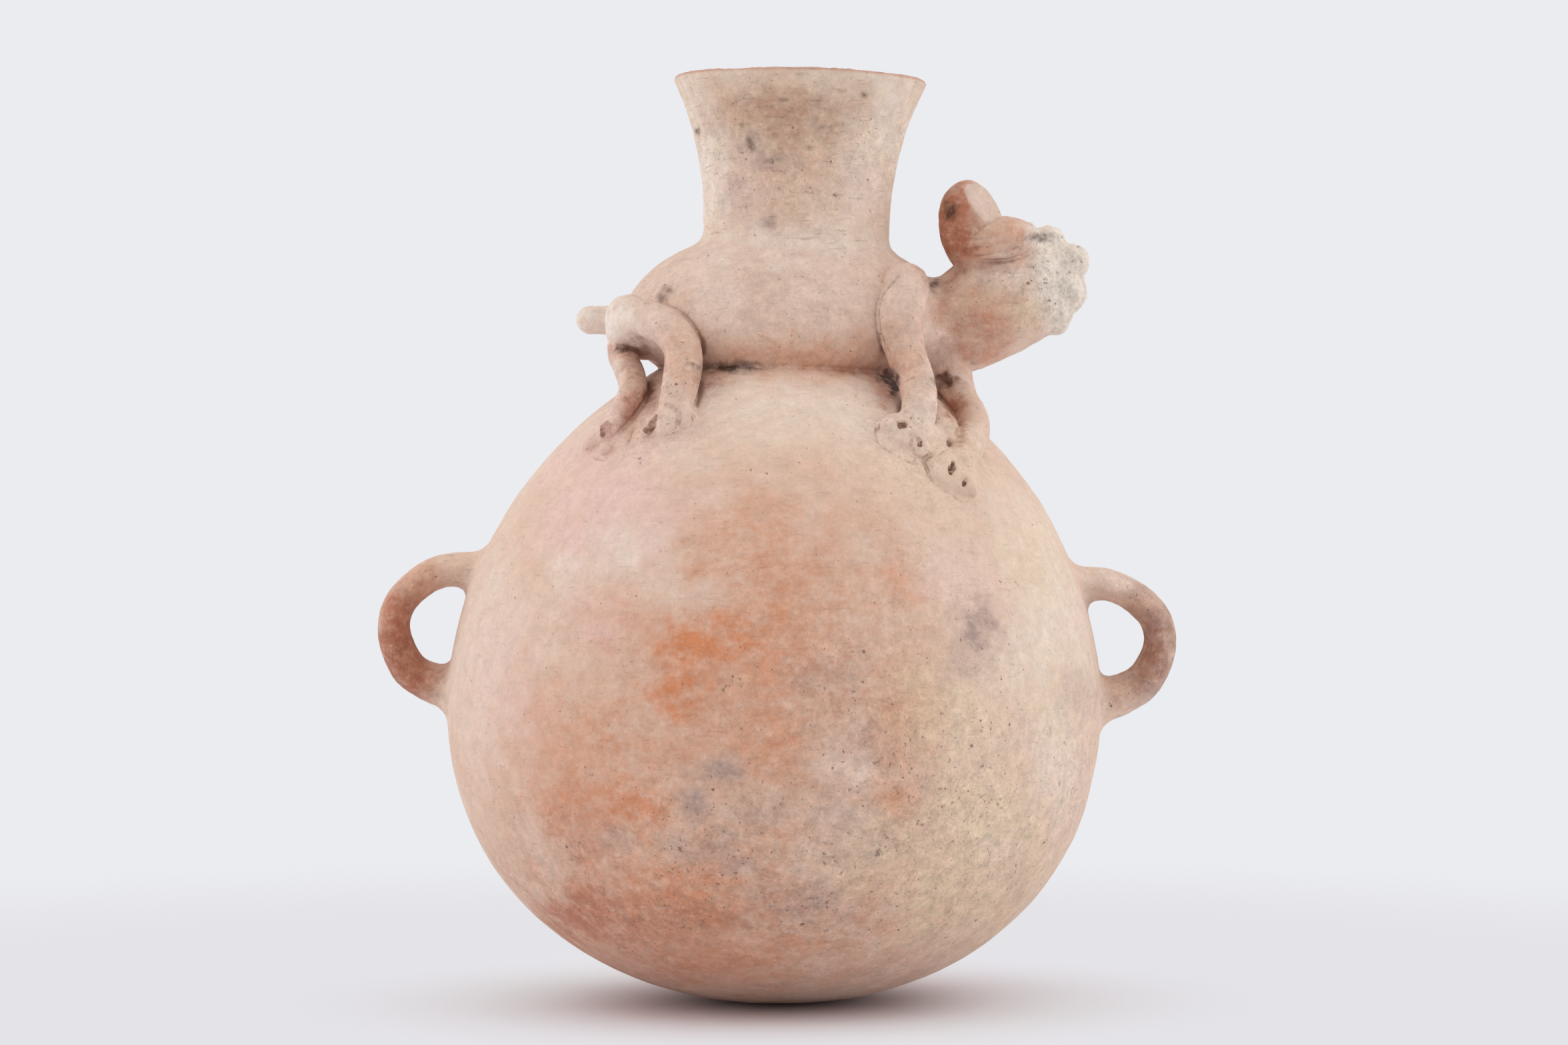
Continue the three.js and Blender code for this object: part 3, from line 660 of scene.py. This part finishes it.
def cut_marks():
    """Cracks round the paws, the folds of the brow, and joints left open."""
    cuts = []
    for paw in PAWS.values():
        for line in paw["cracks"]:
            cuts.append((groove(line, CRACK_RADIUS, CRACK_END, CRACK_ROUGH), CRACK_EDGE))
    for lines, edge in ((FOLDS, FOLD_EDGE), (OPEN_JOINTS, JOINT_EDGE)):
        for line, radius in lines:
            cuts.append((groove(line, radius, FOLD_END, FOLD_ROUGH), edge))
    return cuts


def dug_holes():
    """Claw holes, and hollows between the pieces."""
    holes = [hole for paw in PAWS.values() for hole in paw["holes"]] + HOLLOWS
    dug = []
    for x, z, wide, tall, deep, lean in holes:
        (point, axes), = marks([(x, z)], clay, lean)
        dug.append((ragged(lump(point, (wide, tall, deep), axes), *HOLE_ROUGH), HOLE_EDGE))
    return dug


LINES, HOLES = cut_marks(), dug_holes()
CUTS = LINES + HOLES


def inside_cuts(points, cuts, depth):
    """1 deeper inside the cuts than the given depth, 0 outside them."""
    inside = np.zeros(len(points))
    for (field, low, high), _ in cuts:
        part = window(*points.T, low - 1, high + 1)
        if part is not None:
            index, x, y, z = part
            inside[index] = np.maximum(inside[index], np.clip(-field(x, y, z) / depth, 0, 1))
    return inside


# Uneven hand work

CRUST_X, CRUST_Z = 82.0, 230  # a place on the edge of the muzzle's crust
CRUST_LEAN = 0.18  # the edge leans back as it rises
CRUST_FADE = 6
CRUST_BOTTOM = 205


def crust(points):
    """1 on the worn end of the muzzle, 0 off it."""
    past = points[:, 0] - CRUST_X + CRUST_LEAN * (points[:, 2] - CRUST_Z) + 2.5 * grain(points, 6, 21)
    return np.clip(past / CRUST_FADE, 0, 1) * (points[:, 2] > CRUST_BOTTOM)


# Unevenness, as height, size and seed of each noise, and pits, as size, threshold and seed
HAND_WORK = [(0.45, 46, 1), (0.22, 15, 2), (0.1, 6, 3)]
FINE_WORK = [(0.11, 2.6, 4), (0.05, 1.3, 10)]
CRUST_WORK = [(0.4, 5.0, 5), (0.3, 2.2, 6), (0.18, 1.2, 7)]
CRUST_PITS = [(1.7, 0.35, 8), (3.4, 0.45, 9)]
PIT_DEPTH = 1.2


def unevenness(points, fine):
    """How far the hand-worked surface lies off the smooth one."""
    off = layered(points, HAND_WORK)
    if fine:
        off += layered(points, FINE_WORK)
        pits = sum(np.clip(grain(points, size, seed) - low, 0, 1) for size, low, seed in CRUST_PITS)
        off += crust(points) * (layered(points, CRUST_WORK) - PIT_DEPTH * pits)
    return off


# Where the fired clay changes colour, and where shade and sheen are painted, by kind, in front view: x,
# z, half width, half height, strength
GLOBE_STAINS = {
    "grit": [(50, 60, 60, 50, 1), (0, 40, 80, 34, 0.9), (20, 100, 40, 30, 0.6)],
    "worn": [
        (-8, 84, 66, 56, 0.85), (-55, 60, 36, 40, 0.8), (2, 135, 42, 28, 0.75), (5, 25, 80, 26, 0.8),
        (58, 30, 18, 12, 0.5),
    ],
    "rust": [
        (-36, 22, 34, 12, 0.35), (-62, 50, 14, 16, 0.3), (-5, 12, 40, 8, 0.15), (-60, 28, 15, 10, 0.95),
        (-45, 17, 14, 8, 0.6), (-30, 10, 30, 7, 0.4),
    ],
    "orange": [
        (-22, 115.5, 16, 9, 1), (-16, 112, 28, 18, 0.5), (-32, 99, 8, 9, 1), (-4, 148, 28, 18, 0.32),
        (-12, 116, 30, 28, 0.3), (2, 127, 10, 10, 0.5), (0, 83, 13, 11, 0.42), (-66, 66, 15, 10, 0.5),
        (-46, 62, 13, 9, 0.72), (-32, 34, 28, 14, 0.6), (-45, 24, 26, 12, 0.55), (-16, 12, 34, 9, 0.45),
        (40, 134, 10, 8, 0.4), (42, 88, 12, 14, 0.35), (40, 64, 10, 6, 0.5), (-75, 92, 14, 16, 0.3),
        (-60, 76, 26, 20, 0.35), (-55, 124, 10, 10, 0.35),
    ],
    "pink": [
        (-54, 165, 24, 22, 0.95), (-58, 124, 12, 12, 0.5), (-85, 100, 12, 25, 0.4),
        (62, 135, 12, 12, 0.4),
    ],
    # The pale patches at the globe's left and right edges, (88, 130), (92, 80) and (-94, 112), are
    # partly painted sheen, the edges' paler look under the side light.
    "pale": [
        (-49, 146, 12, 8, 0.5), (-68, 140, 6, 7, 0.55), (-23, 131, 8, 5, 0.45), (88, 130, 14, 36, 0.75),
        (-94, 112, 12, 36, 0.3), (92, 80, 8, 25, 0.5), (19, 75, 9, 4, 0.25), (29, 73, 5, 6, 0.4),
        (72, 56, 12, 12, 0.35),
    ],
    "buff": [
        (70, 53, 24, 22, 0.8), (34, 46, 18, 14, 0.6), (60, 30, 22, 14, 0.7), (55, 172, 26, 18, 0.35),
        (60, 90, 20, 18, 0.6), (85, 140, 14, 22, 0.6), (90, 100, 14, 20, 0.5),
    ],
    "grey": [
        (20, 59, 10, 8, 0.35), (-26, 64, 5, 7, 0.8), (-16, 74, 7, 4, 0.7), (-21, 48, 10, 6, 0.5),
        (-12, 43, 7, 3, 0.5), (18, 104, 12, 7, 0.35), (-5, 60, 8, 6, 0.4), (26, 48, 10, 6, 0.3),
        (8, 31, 16, 8, 0.4), (66.5, 119, 6, 8, 1), (62, 109, 8, 8, 0.35), (98, 99, 7, 9, 0.35),
        (-52, 51, 6, 5, 0.45), (30, 84, 9, 6, 0.35),
    ],
    "brown": [(-24, 26, 26, 6, 0.15)],
}
ANIMAL_STAINS = {  # and the crown of the globe below it
    "grit": [
        (90, 232, 20, 24, 1), (68, 225, 14, 20, 0.5), (5, 222, 60, 24, 0.4), (48, 195, 18, 30, 0.7),
        (-42, 200, 20, 24, 0.7),
    ],
    "worn": [
        (10, 207, 40, 7, 0.9), (66, 220, 14, 12, 0.7), (72, 240, 12, 6, 0.9), (76, 248, 10, 5, 0.8),
        (-30, 205, 8, 14, 0.6), (40, 212, 7, 9, 0.35),
    ],
    # Two rust patches are partly painted shade: down the far foreleg's left side (57.5, 192) and on the
    # back of the near ear (57, 250).
    "rust": [
        (66, 218, 15, 12, 0.38), (57.5, 192, 4.5, 6, 0.6), (30, 203, 12, 2, 0.7), (57, 250, 10, 15, 1),
        (-45, 193, 4, 9, 0.5), (-40, 193, 3, 7, 0.6), (36, 197, 5, 6, 0.7), (-50, 209, 5, 3, 0.45),
    ],
    "pale": [(10, 190, 36, 9, 0.6), (8, 243, 34, 7, 0.5), (-57, 219, 12, 8, 1.5), (74, 232, 9, 8, 0.6)],
    "buff": [(70, 226, 12, 8, 0.5), (9, 188, 30, 10, 0.25), (80, 222, 9, 9, 0.6)],
    "grey": [(-1.5, 250.6, 2.2, 2.8, 0.9)],
    # Brown here is partly painted shade: down the far foreleg's left side, beside the left hind paw, on
    # the globe just under the trunk, and on the back of the near ear.
    "brown": [
        (59, 191, 3.4, 5, 0.75), (60.2, 183.5, 1.6, 5, 0.7), (-47, 188, 2.4, 8, 0.45),
        (-20, 200, 7, 4, 0.5), (56, 247, 9, 14, 1), (66, 214, 7, 7, 0.08), (-43, 205, 6, 4, 0.6),
    ],
    # The two dark patches beside the near foreleg (36.6, 200.8 and 38.8, 198) are painted shade of a
    # deep hollow; those along the joints under the trunk and legs are soot and painted shade together.
    "soot": [
        (-14, 203.8, 10, 1.9, 1), (36.6, 200.8, 3.4, 2.2, 1.6), (38.8, 198, 1.5, 3, 1.5),
        (55.5, 199.6, 3.5, 2.6, 0.8), (-36, 226, 2, 1.6, 0.7), (-34.5, 229, 2.2, 1.3, 0.7),
        (52, 230.5, 1.8, 1.8, 0.85), (57, 254.5, 2.4, 3, 0.85), (-48.5, 209.6, 2.6, 1.5, 0.9),
        (86, 245.8, 4.2, 1.5, 0.65), (-40, 195, 2, 4.5, 0.6),
    ],
}
SPOUT_STAINS = {
    "grit": [(5, 270, 48, 26, 0.65)],
    "worn": [(3, 272, 20, 30, 0.5)],
    "pink": [(30, 262, 8, 12, 0.4), (-12, 262, 12, 10, 0.4)],
    # The pale bands down the spout's sides are partly painted sheen, the sides' paler look under the
    # side light.
    "pale": [
        (-22, 268, 7, 18, 0.8), (30, 272, 7, 18, 0.6), (37, 284, 7, 16, 0.9), (-28, 284, 6, 14, 0.7),
    ],
    "buff": [(5, 285, 44, 12, 0.35), (32, 274, 12, 12, 0.3)],
    "grey": [
        (-7, 276, 6, 5, 0.7), (-1, 270, 9, 4, 0.6), (4, 284, 22, 7, 0.25), (25, 266, 8, 8, 0.15),
        (-10, 258, 8, 8, 0.3),
    ],
    "brown": [(5, 286, 26, 9, 0.42)],
    "soot": [
        (-7.8, 275.8, 1.5, 2.2, 0.8), (-0.9, 270.3, 2.6, 1, 0.55), (29.2, 291.5, 1.2, 0.8, 0.7),
        (-24.6, 280, 0.9, 1, 0.7), (11.5, 274.5, 1.6, 0.8, 0.5), (3, 290, 1.6, 0.7, 0.5),
        (-10, 282, 2.2, 0.7, 0.5), (16, 281.5, 3, 0.6, 0.5),
    ],
}
HANDLE_STAINS = {
    "grit": [(120, 115, 20, 30, 0.7), (-118, 115, 20, 30, 0.6)],
    "worn": [(118, 118, 12, 26, 0.5), (-116, 118, 14, 26, 0.95)],
    "rust": [(-122, 112, 12, 22, 0.95)],
    "pale": [(111, 136, 9, 5, 0.6)],
    "grey": [(122, 113, 10, 20, 0.85)],
    "brown": [(122, 112, 9, 18, 0.6), (-120, 108, 10, 18, 0.75)],
}
STAIN_KINDS = ("grit", "worn", "rust", "orange", "pink", "pale", "buff", "grey", "brown", "soot")
# Where a stain may still show, where it ends without noise, and over how much it fades, in half sizes
STAIN_REACH, STAIN_END, STAIN_FADE = 2.2, 1.6, 1.5
# Noise on a stain's edge: height, size, share of the stain's own size added to it, seed
STAIN_EDGE = [(0.55, 1.5, 0.7, 31), (0.3, 1.0, 0.3, 32)]
TURN_FADE = 0.3  # both patterns fade out towards the globe's sides


def rows(*tables):
    """The tables' stains as one list: kind, x, z, half width, half height, strength."""
    return [(kind, *spot) for table in tables for kind, spots in table.items() for spot in spots]


def far_side_stains():
    """The far side is fired like the near one, so it takes the same patches the other way round, the
    painted sheen along the edges too.
    """
    turned = [(kind, 8 - x, 14 + 0.9 * z, *rest) for kind, x, z, *rest in rows(GLOBE_STAINS)]
    mirrored = [(kind, -x, z, *rest) for kind, x, z, *rest in rows(SPOUT_STAINS)]
    return turned + mirrored + [("grit", 5, 222, 60, 24, 0.4)]


def facing(points, normals, on_globe):
    """How much of the near and of the far side's stains each point takes."""
    if on_globe:
        toward = -points[:, 1] / np.maximum(np.hypot(points[:, 0], points[:, 1]), 1)
        return np.clip(toward / TURN_FADE, 0, 1), np.clip(-toward / TURN_FADE, 0, 1)
    near = np.clip(0.5 - 4 * normals[:, 1], 0, 1)
    return near, 1 - near


def stain_strength(points, normals, piece):
    """For each kind of stain, painted shade and sheen among them, how strongly it lies at each point of
    a piece.
    """
    share = CAMERA[1] / (CAMERA[1] - points[:, 1])
    x = CAMERA[0] + (points[:, 0] - CAMERA[0]) * share
    z = CAMERA[2] + (points[:, 2] - CAMERA[2]) * share
    if piece.node in HANDLES:
        tables = [(rows(HANDLE_STAINS), np.ones(len(points)))]
    else:
        near_side = rows(GLOBE_STAINS, ANIMAL_STAINS, SPOUT_STAINS)
        shares = facing(points, normals, piece in (BOWL, DOME))
        tables = zip((near_side, far_side_stains()), shares)
    strength = {kind: np.zeros(len(points)) for kind in STAIN_KINDS}
    for table, shown in tables:
        for kind, cx, cz, wide, tall, amount in table:
            reach = np.hypot((x - cx) / wide, (z - cz) / tall)
            close = np.flatnonzero((reach < STAIN_REACH) & (shown > 0))
            if len(close) == 0:
                continue
            least = min(wide, tall)
            layers = [(height, size + more * least, seed) for height, size, more, seed in STAIN_EDGE]
            edge = layered(points[close], layers)
            fall = np.clip((STAIN_END - reach[close] + edge) / STAIN_FADE, 0, 1)
            value = amount * fall * fall * (3 - 2 * fall) * shown[close]
            strength[kind][close] = np.maximum(strength[kind][close], value)
    return strength


CREASE_PROBES = [(1.6, 0.6), (5.0, 0.3)]  # distance off the clay, and its weight


def in_crease(points, normals):
    """0 on open clay, up to 1 deep in a crease, from how near other clay stands; it sets the dirt and
    painted shade in creases.
    """
    closed = 0
    for reach, weight in CREASE_PROBES:
        closed += weight * (1 - clay(*(points + reach * normals).T) / reach)
    return np.clip(closed, 0, 1)


# Meshes

BAND = 3  # voxels kept on each side of the surface
GRID_ROOM = 4
CUT_SHADE = 0.3  # depth at which a hole or crack has its full colour
RIM_DROP, RIM_FADE = 1.3, 0.8  # how far down the rim is coloured
STANDING = 0.3  # lower than this the foot stays flat
FINE_VOXEL = 1.0  # finer meshes take the fine unevenness


def meshed(piece):
    """The piece's corners, in millimetres, and its four-sided faces."""
    band = BAND * piece.voxel
    margin = max(piece.blend, piece.claim) + band + GRID_ROOM
    low, high = piece.low - margin, piece.high + margin
    low[2] = max(low[2], -band)
    counts = np.ceil((high - low) / piece.voxel).astype(int) + 1
    axes = [(low[i] + piece.voxel * np.arange(counts[i])).astype(np.float32) for i in range(3)]
    x, y, z = axes[0][:, None, None], axes[1][None, :, None], axes[2][None, None, :]
    values = np.clip(clay(x, y, z, piece), -band, band).astype(np.float32)
    grid = openvdb.FloatGrid(band)
    grid.copyFromArray(np.ascontiguousarray(values))
    points, quads = grid.convertToQuads(0.0)
    return low + points.astype(np.float64) * piece.voxel, quads


def traces_on(points, normals, piece):
    """What the material reads at each point of a piece, by name."""
    traces = stain_strength(points, normals, piece)
    traces["crease"] = in_crease(points, normals)
    traces["facet"] = ear_facet(points) * (piece.node in EARS)
    traces["crust"] = crust(points)
    traces["hole"] = inside_cuts(points, HOLES, CUT_SHADE)
    traces["crack"] = inside_cuts(points, LINES, CUT_SHADE)
    above = spout_frame(*points.T)[1] - SPOUT_HEIGHT
    traces["rim"] = np.clip((above + RIM_DROP) / RIM_FADE, 0, 1)
    return traces


def build(piece, material):
    points, quads = meshed(piece)
    mesh = bpy.data.meshes.new(f"clay_{piece.node}")
    mesh.from_pydata(points * MM, [], quads.tolist())
    normals = np.empty(len(points) * 3, np.float32)
    mesh.vertex_normals.foreach_get("vector", normals)
    normals = normals.reshape(-1, 3).astype(np.float64)
    moved = points + normals * unevenness(points, piece.voxel < FINE_VOXEL)[:, None]
    standing = points[:, 2] < STANDING
    moved[standing] = points[standing]
    mesh.vertices.foreach_set("co", (moved * MM).ravel())
    for name, values in traces_on(points, normals, piece).items():
        trace = mesh.attributes.new(name, "FLOAT", "POINT")
        trace.data.foreach_set("value", values.astype(np.float32))
    mesh.polygons.foreach_set("use_smooth", np.ones(len(quads), bool))
    mesh.materials.append(material)
    mesh.update()
    thing = bpy.data.objects.new(f"clay_{piece.node}", mesh)
    bpy.context.collection.objects.link(thing)
    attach(thing, "root")
    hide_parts(piece.node)


# Materials

def srgb(red, green, blue):
    """A colour as it shows on screen, 0 to 255, for a shader socket."""
    levels = np.array([red, green, blue]) / 255
    linear = np.where(levels <= 0.04045, levels / 12.92, ((levels + 0.055) / 1.055) ** 2.4)
    return (*linear.tolist(), 1.0)


class Shader:
    """Adds nodes to a tree. node and noise_node return the node, the others what it puts out."""

    def __init__(self, tree):
        self.tree = tree
        self.coordinates = self.node("ShaderNodeTexCoord").outputs
        self.place = self.coordinates["Object"]

    def node(self, kind, inputs=(), **settings):
        node = self.tree.nodes.new(kind)
        for name, value in settings.items():
            setattr(node, name, value)
        for name, value in dict(inputs).items():
            if isinstance(value, bpy.types.NodeSocket):
                self.tree.links.new(value, node.inputs[name])
            else:
                node.inputs[name].default_value = value
        return node

    def noise_node(self, scale, detail, rough):
        inputs = {0: self.place, 1: scale}
        place = self.node("ShaderNodeVectorMath", inputs, operation="MULTIPLY").outputs[0]
        settings = {"Vector": place, "Scale": 1.0, "Detail": detail, "Roughness": rough}
        return self.node("ShaderNodeTexNoise", settings)

    def noise(self, size, detail, rough, stretch=(1, 1, 1)):
        """Noise whose features are about size millimetres across, longer along stretch."""
        scale = tuple(1 / (size * MM * long) for long in stretch)
        return self.noise_node(scale, detail, rough).outputs[0]

    def three_noises(self, size, detail, rough):
        """Three unlike noises, longer level than upright."""
        scale = (1 / (size * MM), 1 / (size * MM), 1.8 / (size * MM))
        colour = self.noise_node(scale, detail, rough).outputs["Color"]
        return list(self.node("ShaderNodeSeparateColor", {0: colour}).outputs)

    def cells(self, size):
        """Distance from the nearest of scattered points, in sizes, and that point's random number."""
        node = self.node("ShaderNodeTexVoronoi", {"Vector": self.place, "Scale": 1 / (size * MM)})
        chance = self.node("ShaderNodeSeparateColor", {0: node.outputs["Color"]}).outputs[0]
        return node.outputs["Distance"], chance

    def trace(self, name):
        return self.node("ShaderNodeAttribute", attribute_name=name).outputs["Fac"]

    def math(self, operation, a, b=0.0, c=0.0):
        return self.node("ShaderNodeMath", {0: a, 1: b, 2: c}, operation=operation).outputs[0]

    def between(self, value, low, high):
        """0 below low, 1 above high, smooth between."""
        settings = {"Value": value, "From Min": low, "From Max": high}
        return self.node("ShaderNodeMapRange", settings, interpolation_type="SMOOTHSTEP").outputs[0]

    def mix(self, share, a, b):
        return self.node("ShaderNodeMix", {0: share, 6: a, 7: b}, data_type="RGBA").outputs[2]


# Colour and cover of each kind of stain, laid on in this order; rust, brown and soot also lay painted
# shade, and pale lays painted sheen
STAIN_LOOKS = {
    "worn": (208, 160, 134, 0.9),
    "orange": (210, 136, 96, 0.95),
    "pink": (229, 192, 181, 0.9),
    "pale": (234, 218, 206, 0.9),
    "buff": (225, 200, 170, 0.9),
    "grey": (172, 148, 139, 0.9),
    "rust": (190, 124, 98, 0.9),
    "brown": (160, 100, 73, 0.9),
    "facet": (217, 191, 176, 0.9),
    "crust": (229, 215, 202, 0.95),
    "soot": (72, 50, 40, 0.9),
    "rim": (190, 130, 110, 0.75),
    "hole": (196, 120, 88, 0.9),
    "crack": (118, 78, 60, 0.55),
}
EVEN_STAINS = ("facet", "rim")  # not broken up by noise
SCRATCH_COLOUR = srgb(150, 110, 88)
PIT_COLOUR = srgb(112, 82, 68)
# dirt and painted shade in the creases
DIRT_AND_SHADE_COLOUR = srgb(126, 80, 60)
CLAY_SURFACE = {
    "Roughness": 0.9, "Specular IOR Level": 0.25, "Sheen Weight": 0.1, "Sheen Roughness": 0.6,
}


def stained(s, colour, clouds, dust):
    """The clay's colour with the stains laid over it, painted shade and sheen among them, most of them
    in loose clouds.
    """
    for index, (kind, (*tone, cover)) in enumerate(STAIN_LOOKS.items()):
        share = s.trace(kind)
        if kind not in EVEN_STAINS:
            loose = s.math("MULTIPLY_ADD", clouds[index % 3], 3.0, -0.5)
            loose = s.math("ADD", loose, s.math("MULTIPLY_ADD", dust, 2.0, -1.0))
            share = s.math("MULTIPLY", share, loose)
        share = s.math("MAXIMUM", s.math("MULTIPLY", share, cover), 0.0)
        colour = s.mix(s.math("MINIMUM", share, 1.0), colour, srgb(*tone))
    return colour


def pitted(s, grit, cloud, dust, pitting):
    """Share of specks and small holes, more of them where the clay is gritty."""
    speck = s.math("ADD", s.noise(1.3, 2.0, 0.6), s.math("MULTIPLY_ADD", cloud, 0.5, -0.25))
    specked = s.between(s.math("MULTIPLY_ADD", grit, 0.07, speck), 0.72, 0.79)
    distance, chance = s.cells(3.0)
    distance = s.math("ADD", distance, s.math("MULTIPLY_ADD", dust, 0.7, -0.35))
    crowd = s.math("MULTIPLY_ADD", grit, -pitting, 1 - 0.3 * pitting)
    room = s.between(chance, crowd, 1.1)
    hole = s.between(s.math("SUBTRACT", s.math("MULTIPLY", room, 0.2), distance), 0.0, 0.08)
    return s.math("MAXIMUM", s.math("MULTIPLY", specked, 0.6), s.math("MULTIPLY", hole, 0.75))


def crease_dirt_and_shade(s, dust):
    """Share of dirt and painted shade in the creases, less in the claw holes."""
    depth = s.math("ADD", s.trace("crease"), s.math("MULTIPLY_ADD", dust, 0.4, -0.2))
    open_clay = s.math("MULTIPLY_ADD", s.trace("hole"), -0.6, 0.75)
    return s.math("MULTIPLY", s.between(depth, 0.25, 0.85), open_clay)


def clay_material(name, light, dark, wiping, pitting):
    """Fired clay. wiping: strength of the level marks; pitting: share of the specks."""
    material = bpy.data.materials.new(name)
    material.use_nodes = True
    tree = material.node_tree
    s = Shader(tree)
    grit = s.trace("grit")
    broad, dust, sand = s.noise(34, 5.0, 0.55), s.noise(2.2, 5.0, 0.7), s.noise(5.0, 5.0, 0.95)
    clouds = s.three_noises(8, 8.0, 0.7)
    colour = s.mix(s.between(broad, 0.36, 0.64), dark, light)
    colour = stained(s, colour, clouds, dust)
    stroke = s.between(s.noise(0.8, 3.0, 0.65, (8, 8, 1)), 0.56, 0.7)
    stroke = s.math("MULTIPLY", stroke, s.between(clouds[0], 0.4, 0.6))
    scratch = s.math("MULTIPLY", stroke, wiping)
    colour = s.mix(scratch, colour, SCRATCH_COLOUR)
    swing = s.math("MULTIPLY_ADD", grit, 1.1, 0.7)
    level = s.math("MULTIPLY_ADD", s.math("SUBTRACT", sand, 0.5), swing, 1.0)
    colour = s.node("ShaderNodeVectorMath", {0: colour, "Scale": level}, operation="SCALE").outputs[0]
    pit = pitted(s, grit, clouds[2], dust, pitting)
    colour = s.mix(pit, colour, PIT_COLOUR)
    # darkens the creases with dirt and painted shade
    colour = s.mix(crease_dirt_and_shade(s, dust), colour, DIRT_AND_SHADE_COLOUR)
    height = s.math("ADD", s.math("MULTIPLY", sand, swing), s.math("MULTIPLY", dust, 0.5))
    height = s.math("SUBTRACT", height, scratch)
    height = s.math("SUBTRACT", height, s.math("MULTIPLY", pit, 0.8))
    bump = s.node("ShaderNodeBump", {"Height": height, "Strength": 0.7, "Distance": 0.5 * MM})
    principled = tree.nodes["Principled BSDF"]
    tree.links.new(colour, principled.inputs["Base Color"])
    tree.links.new(bump.outputs[0], principled.inputs["Normal"])
    for socket, value in CLAY_SURFACE.items():
        principled.inputs[socket].default_value = value
    return material


CLAYS = {  # light and dark tone, wiping, pitting
    "body_clay": (srgb(226, 200, 182), srgb(222, 190, 170), 0.2, 0.4),
    "animal_clay": (srgb(224, 198, 182), srgb(218, 187, 168), 0.2, 0.35),
    "spout_clay": (srgb(227, 206, 187), srgb(222, 197, 176), 0.35, 0.25),
    "worn_clay": (srgb(226, 210, 195), srgb(214, 195, 178), 0.2, 0.6),
}
MATERIALS = {name: clay_material(name, *look) for name, look in CLAYS.items()}


# The studio: a pale floor, and a tent of soft light brighter at the sides and above

BACKDROP = srgb(235, 236, 240)
FLOOR_TONE = srgb(228, 227, 232)
FLOOR_PAINTED_SHADOW = srgb(215, 206, 210)  # painted contact shadow: the floor's own colour darkened under the foot
FLOOR_LIT = srgb(237, 240, 247)  # the floor's own colour round it
FLOOR_CORNERS = [(-4, -4, 0), (4, -4, 0), (4, 4, 0), (-4, 4, 0)]
# Metres from the foot over which the painted contact shadow fades out, the floor loses its shading, and
# turns into the backdrop
PAINTED_SHADOW_FADE = (0.03, 0.08)
SHADOW_FADE = (0.06, 0.19)
BACKDROP_FADE = (0.28, 0.6)


def studio_floor():
    mesh = bpy.data.meshes.new("floor")
    mesh.from_pydata(FLOOR_CORNERS, [], [(0, 1, 2, 3)])
    floor = bpy.data.objects.new("floor", mesh)
    bpy.context.collection.objects.link(floor)
    material = bpy.data.materials.new("floor")
    material.use_nodes = True
    mesh.materials.append(material)
    tree = material.node_tree
    principled = tree.nodes["Principled BSDF"]
    principled.inputs["Roughness"].default_value = 0.6
    principled.inputs["Specular IOR Level"].default_value = 0.2
    s = Shader(tree)
    away = s.node("ShaderNodeVectorMath", {0: s.place}, operation="LENGTH").outputs["Value"]
    # painted contact shadow: the floor's colour darkens under the foot
    under = s.mix(s.between(away, *PAINTED_SHADOW_FADE), FLOOR_PAINTED_SHADOW, FLOOR_LIT)
    tree.links.new(under, principled.inputs["Base Color"])
    tone = s.mix(s.between(away, *BACKDROP_FADE), FLOOR_TONE, BACKDROP)
    glow = s.node("ShaderNodeEmission", {"Color": tone, "Strength": 1.0}).outputs[0]
    camera_ray = s.node("ShaderNodeLightPath").outputs["Is Camera Ray"]
    share = s.math("MULTIPLY", s.between(away, *SHADOW_FADE), camera_ray)
    mixed = s.node("ShaderNodeMixShader", {0: share, 1: principled.outputs[0], 2: glow}).outputs[0]
    tree.links.new(mixed, tree.nodes["Material Output"].inputs["Surface"])


# Light from all round, and what is added from the sides and from above
TENT_BASE, TENT_SIDES, TENT_TOP = 0.27, 1.34, 0.67


def studio_light():
    world = bpy.data.worlds.new("studio")
    bpy.context.scene.world = world
    world.use_nodes = True
    tree = world.node_tree
    s = Shader(tree)
    x, _, z = s.node("ShaderNodeSeparateXYZ", {0: s.coordinates["Generated"]}).outputs
    sides = s.math("MULTIPLY", s.math("POWER", x, 2.0), TENT_SIDES)
    top = s.math("MULTIPLY", s.math("MAXIMUM", z, 0.0), TENT_TOP)
    level = s.math("ADD", s.math("ADD", sides, top), TENT_BASE)
    tent = tree.nodes["Background"]
    tent.inputs["Color"].default_value = (1.0, 0.99, 0.98, 1)
    tree.links.new(level, tent.inputs["Strength"])
    wall = s.node("ShaderNodeBackground", {"Color": BACKDROP, "Strength": 1.0}).outputs[0]
    camera_ray = s.node("ShaderNodeLightPath").outputs["Is Camera Ray"]
    mixed = s.node("ShaderNodeMixShader", {0: camera_ray, 1: tent.outputs[0], 2: wall}).outputs[0]
    tree.links.new(mixed, tree.nodes["World Output"].inputs["Surface"])


def place_camera():
    camera = bpy.data.objects.new("camera", bpy.data.cameras.new("camera"))
    camera.location = CAMERA * MM
    camera.rotation_euler = (math.radians(90), 0, 0)
    camera.data.lens = CAMERA_LENS
    camera.data.sensor_width = 36.0
    bpy.context.collection.objects.link(camera)
    bpy.context.scene.camera = camera


for piece in PIECES + [BOWL, DOME]:
    build(piece, MATERIALS[piece.slot])
studio_floor()
studio_light()
place_camera()
bpy.context.scene.view_settings.view_transform = "Standard"
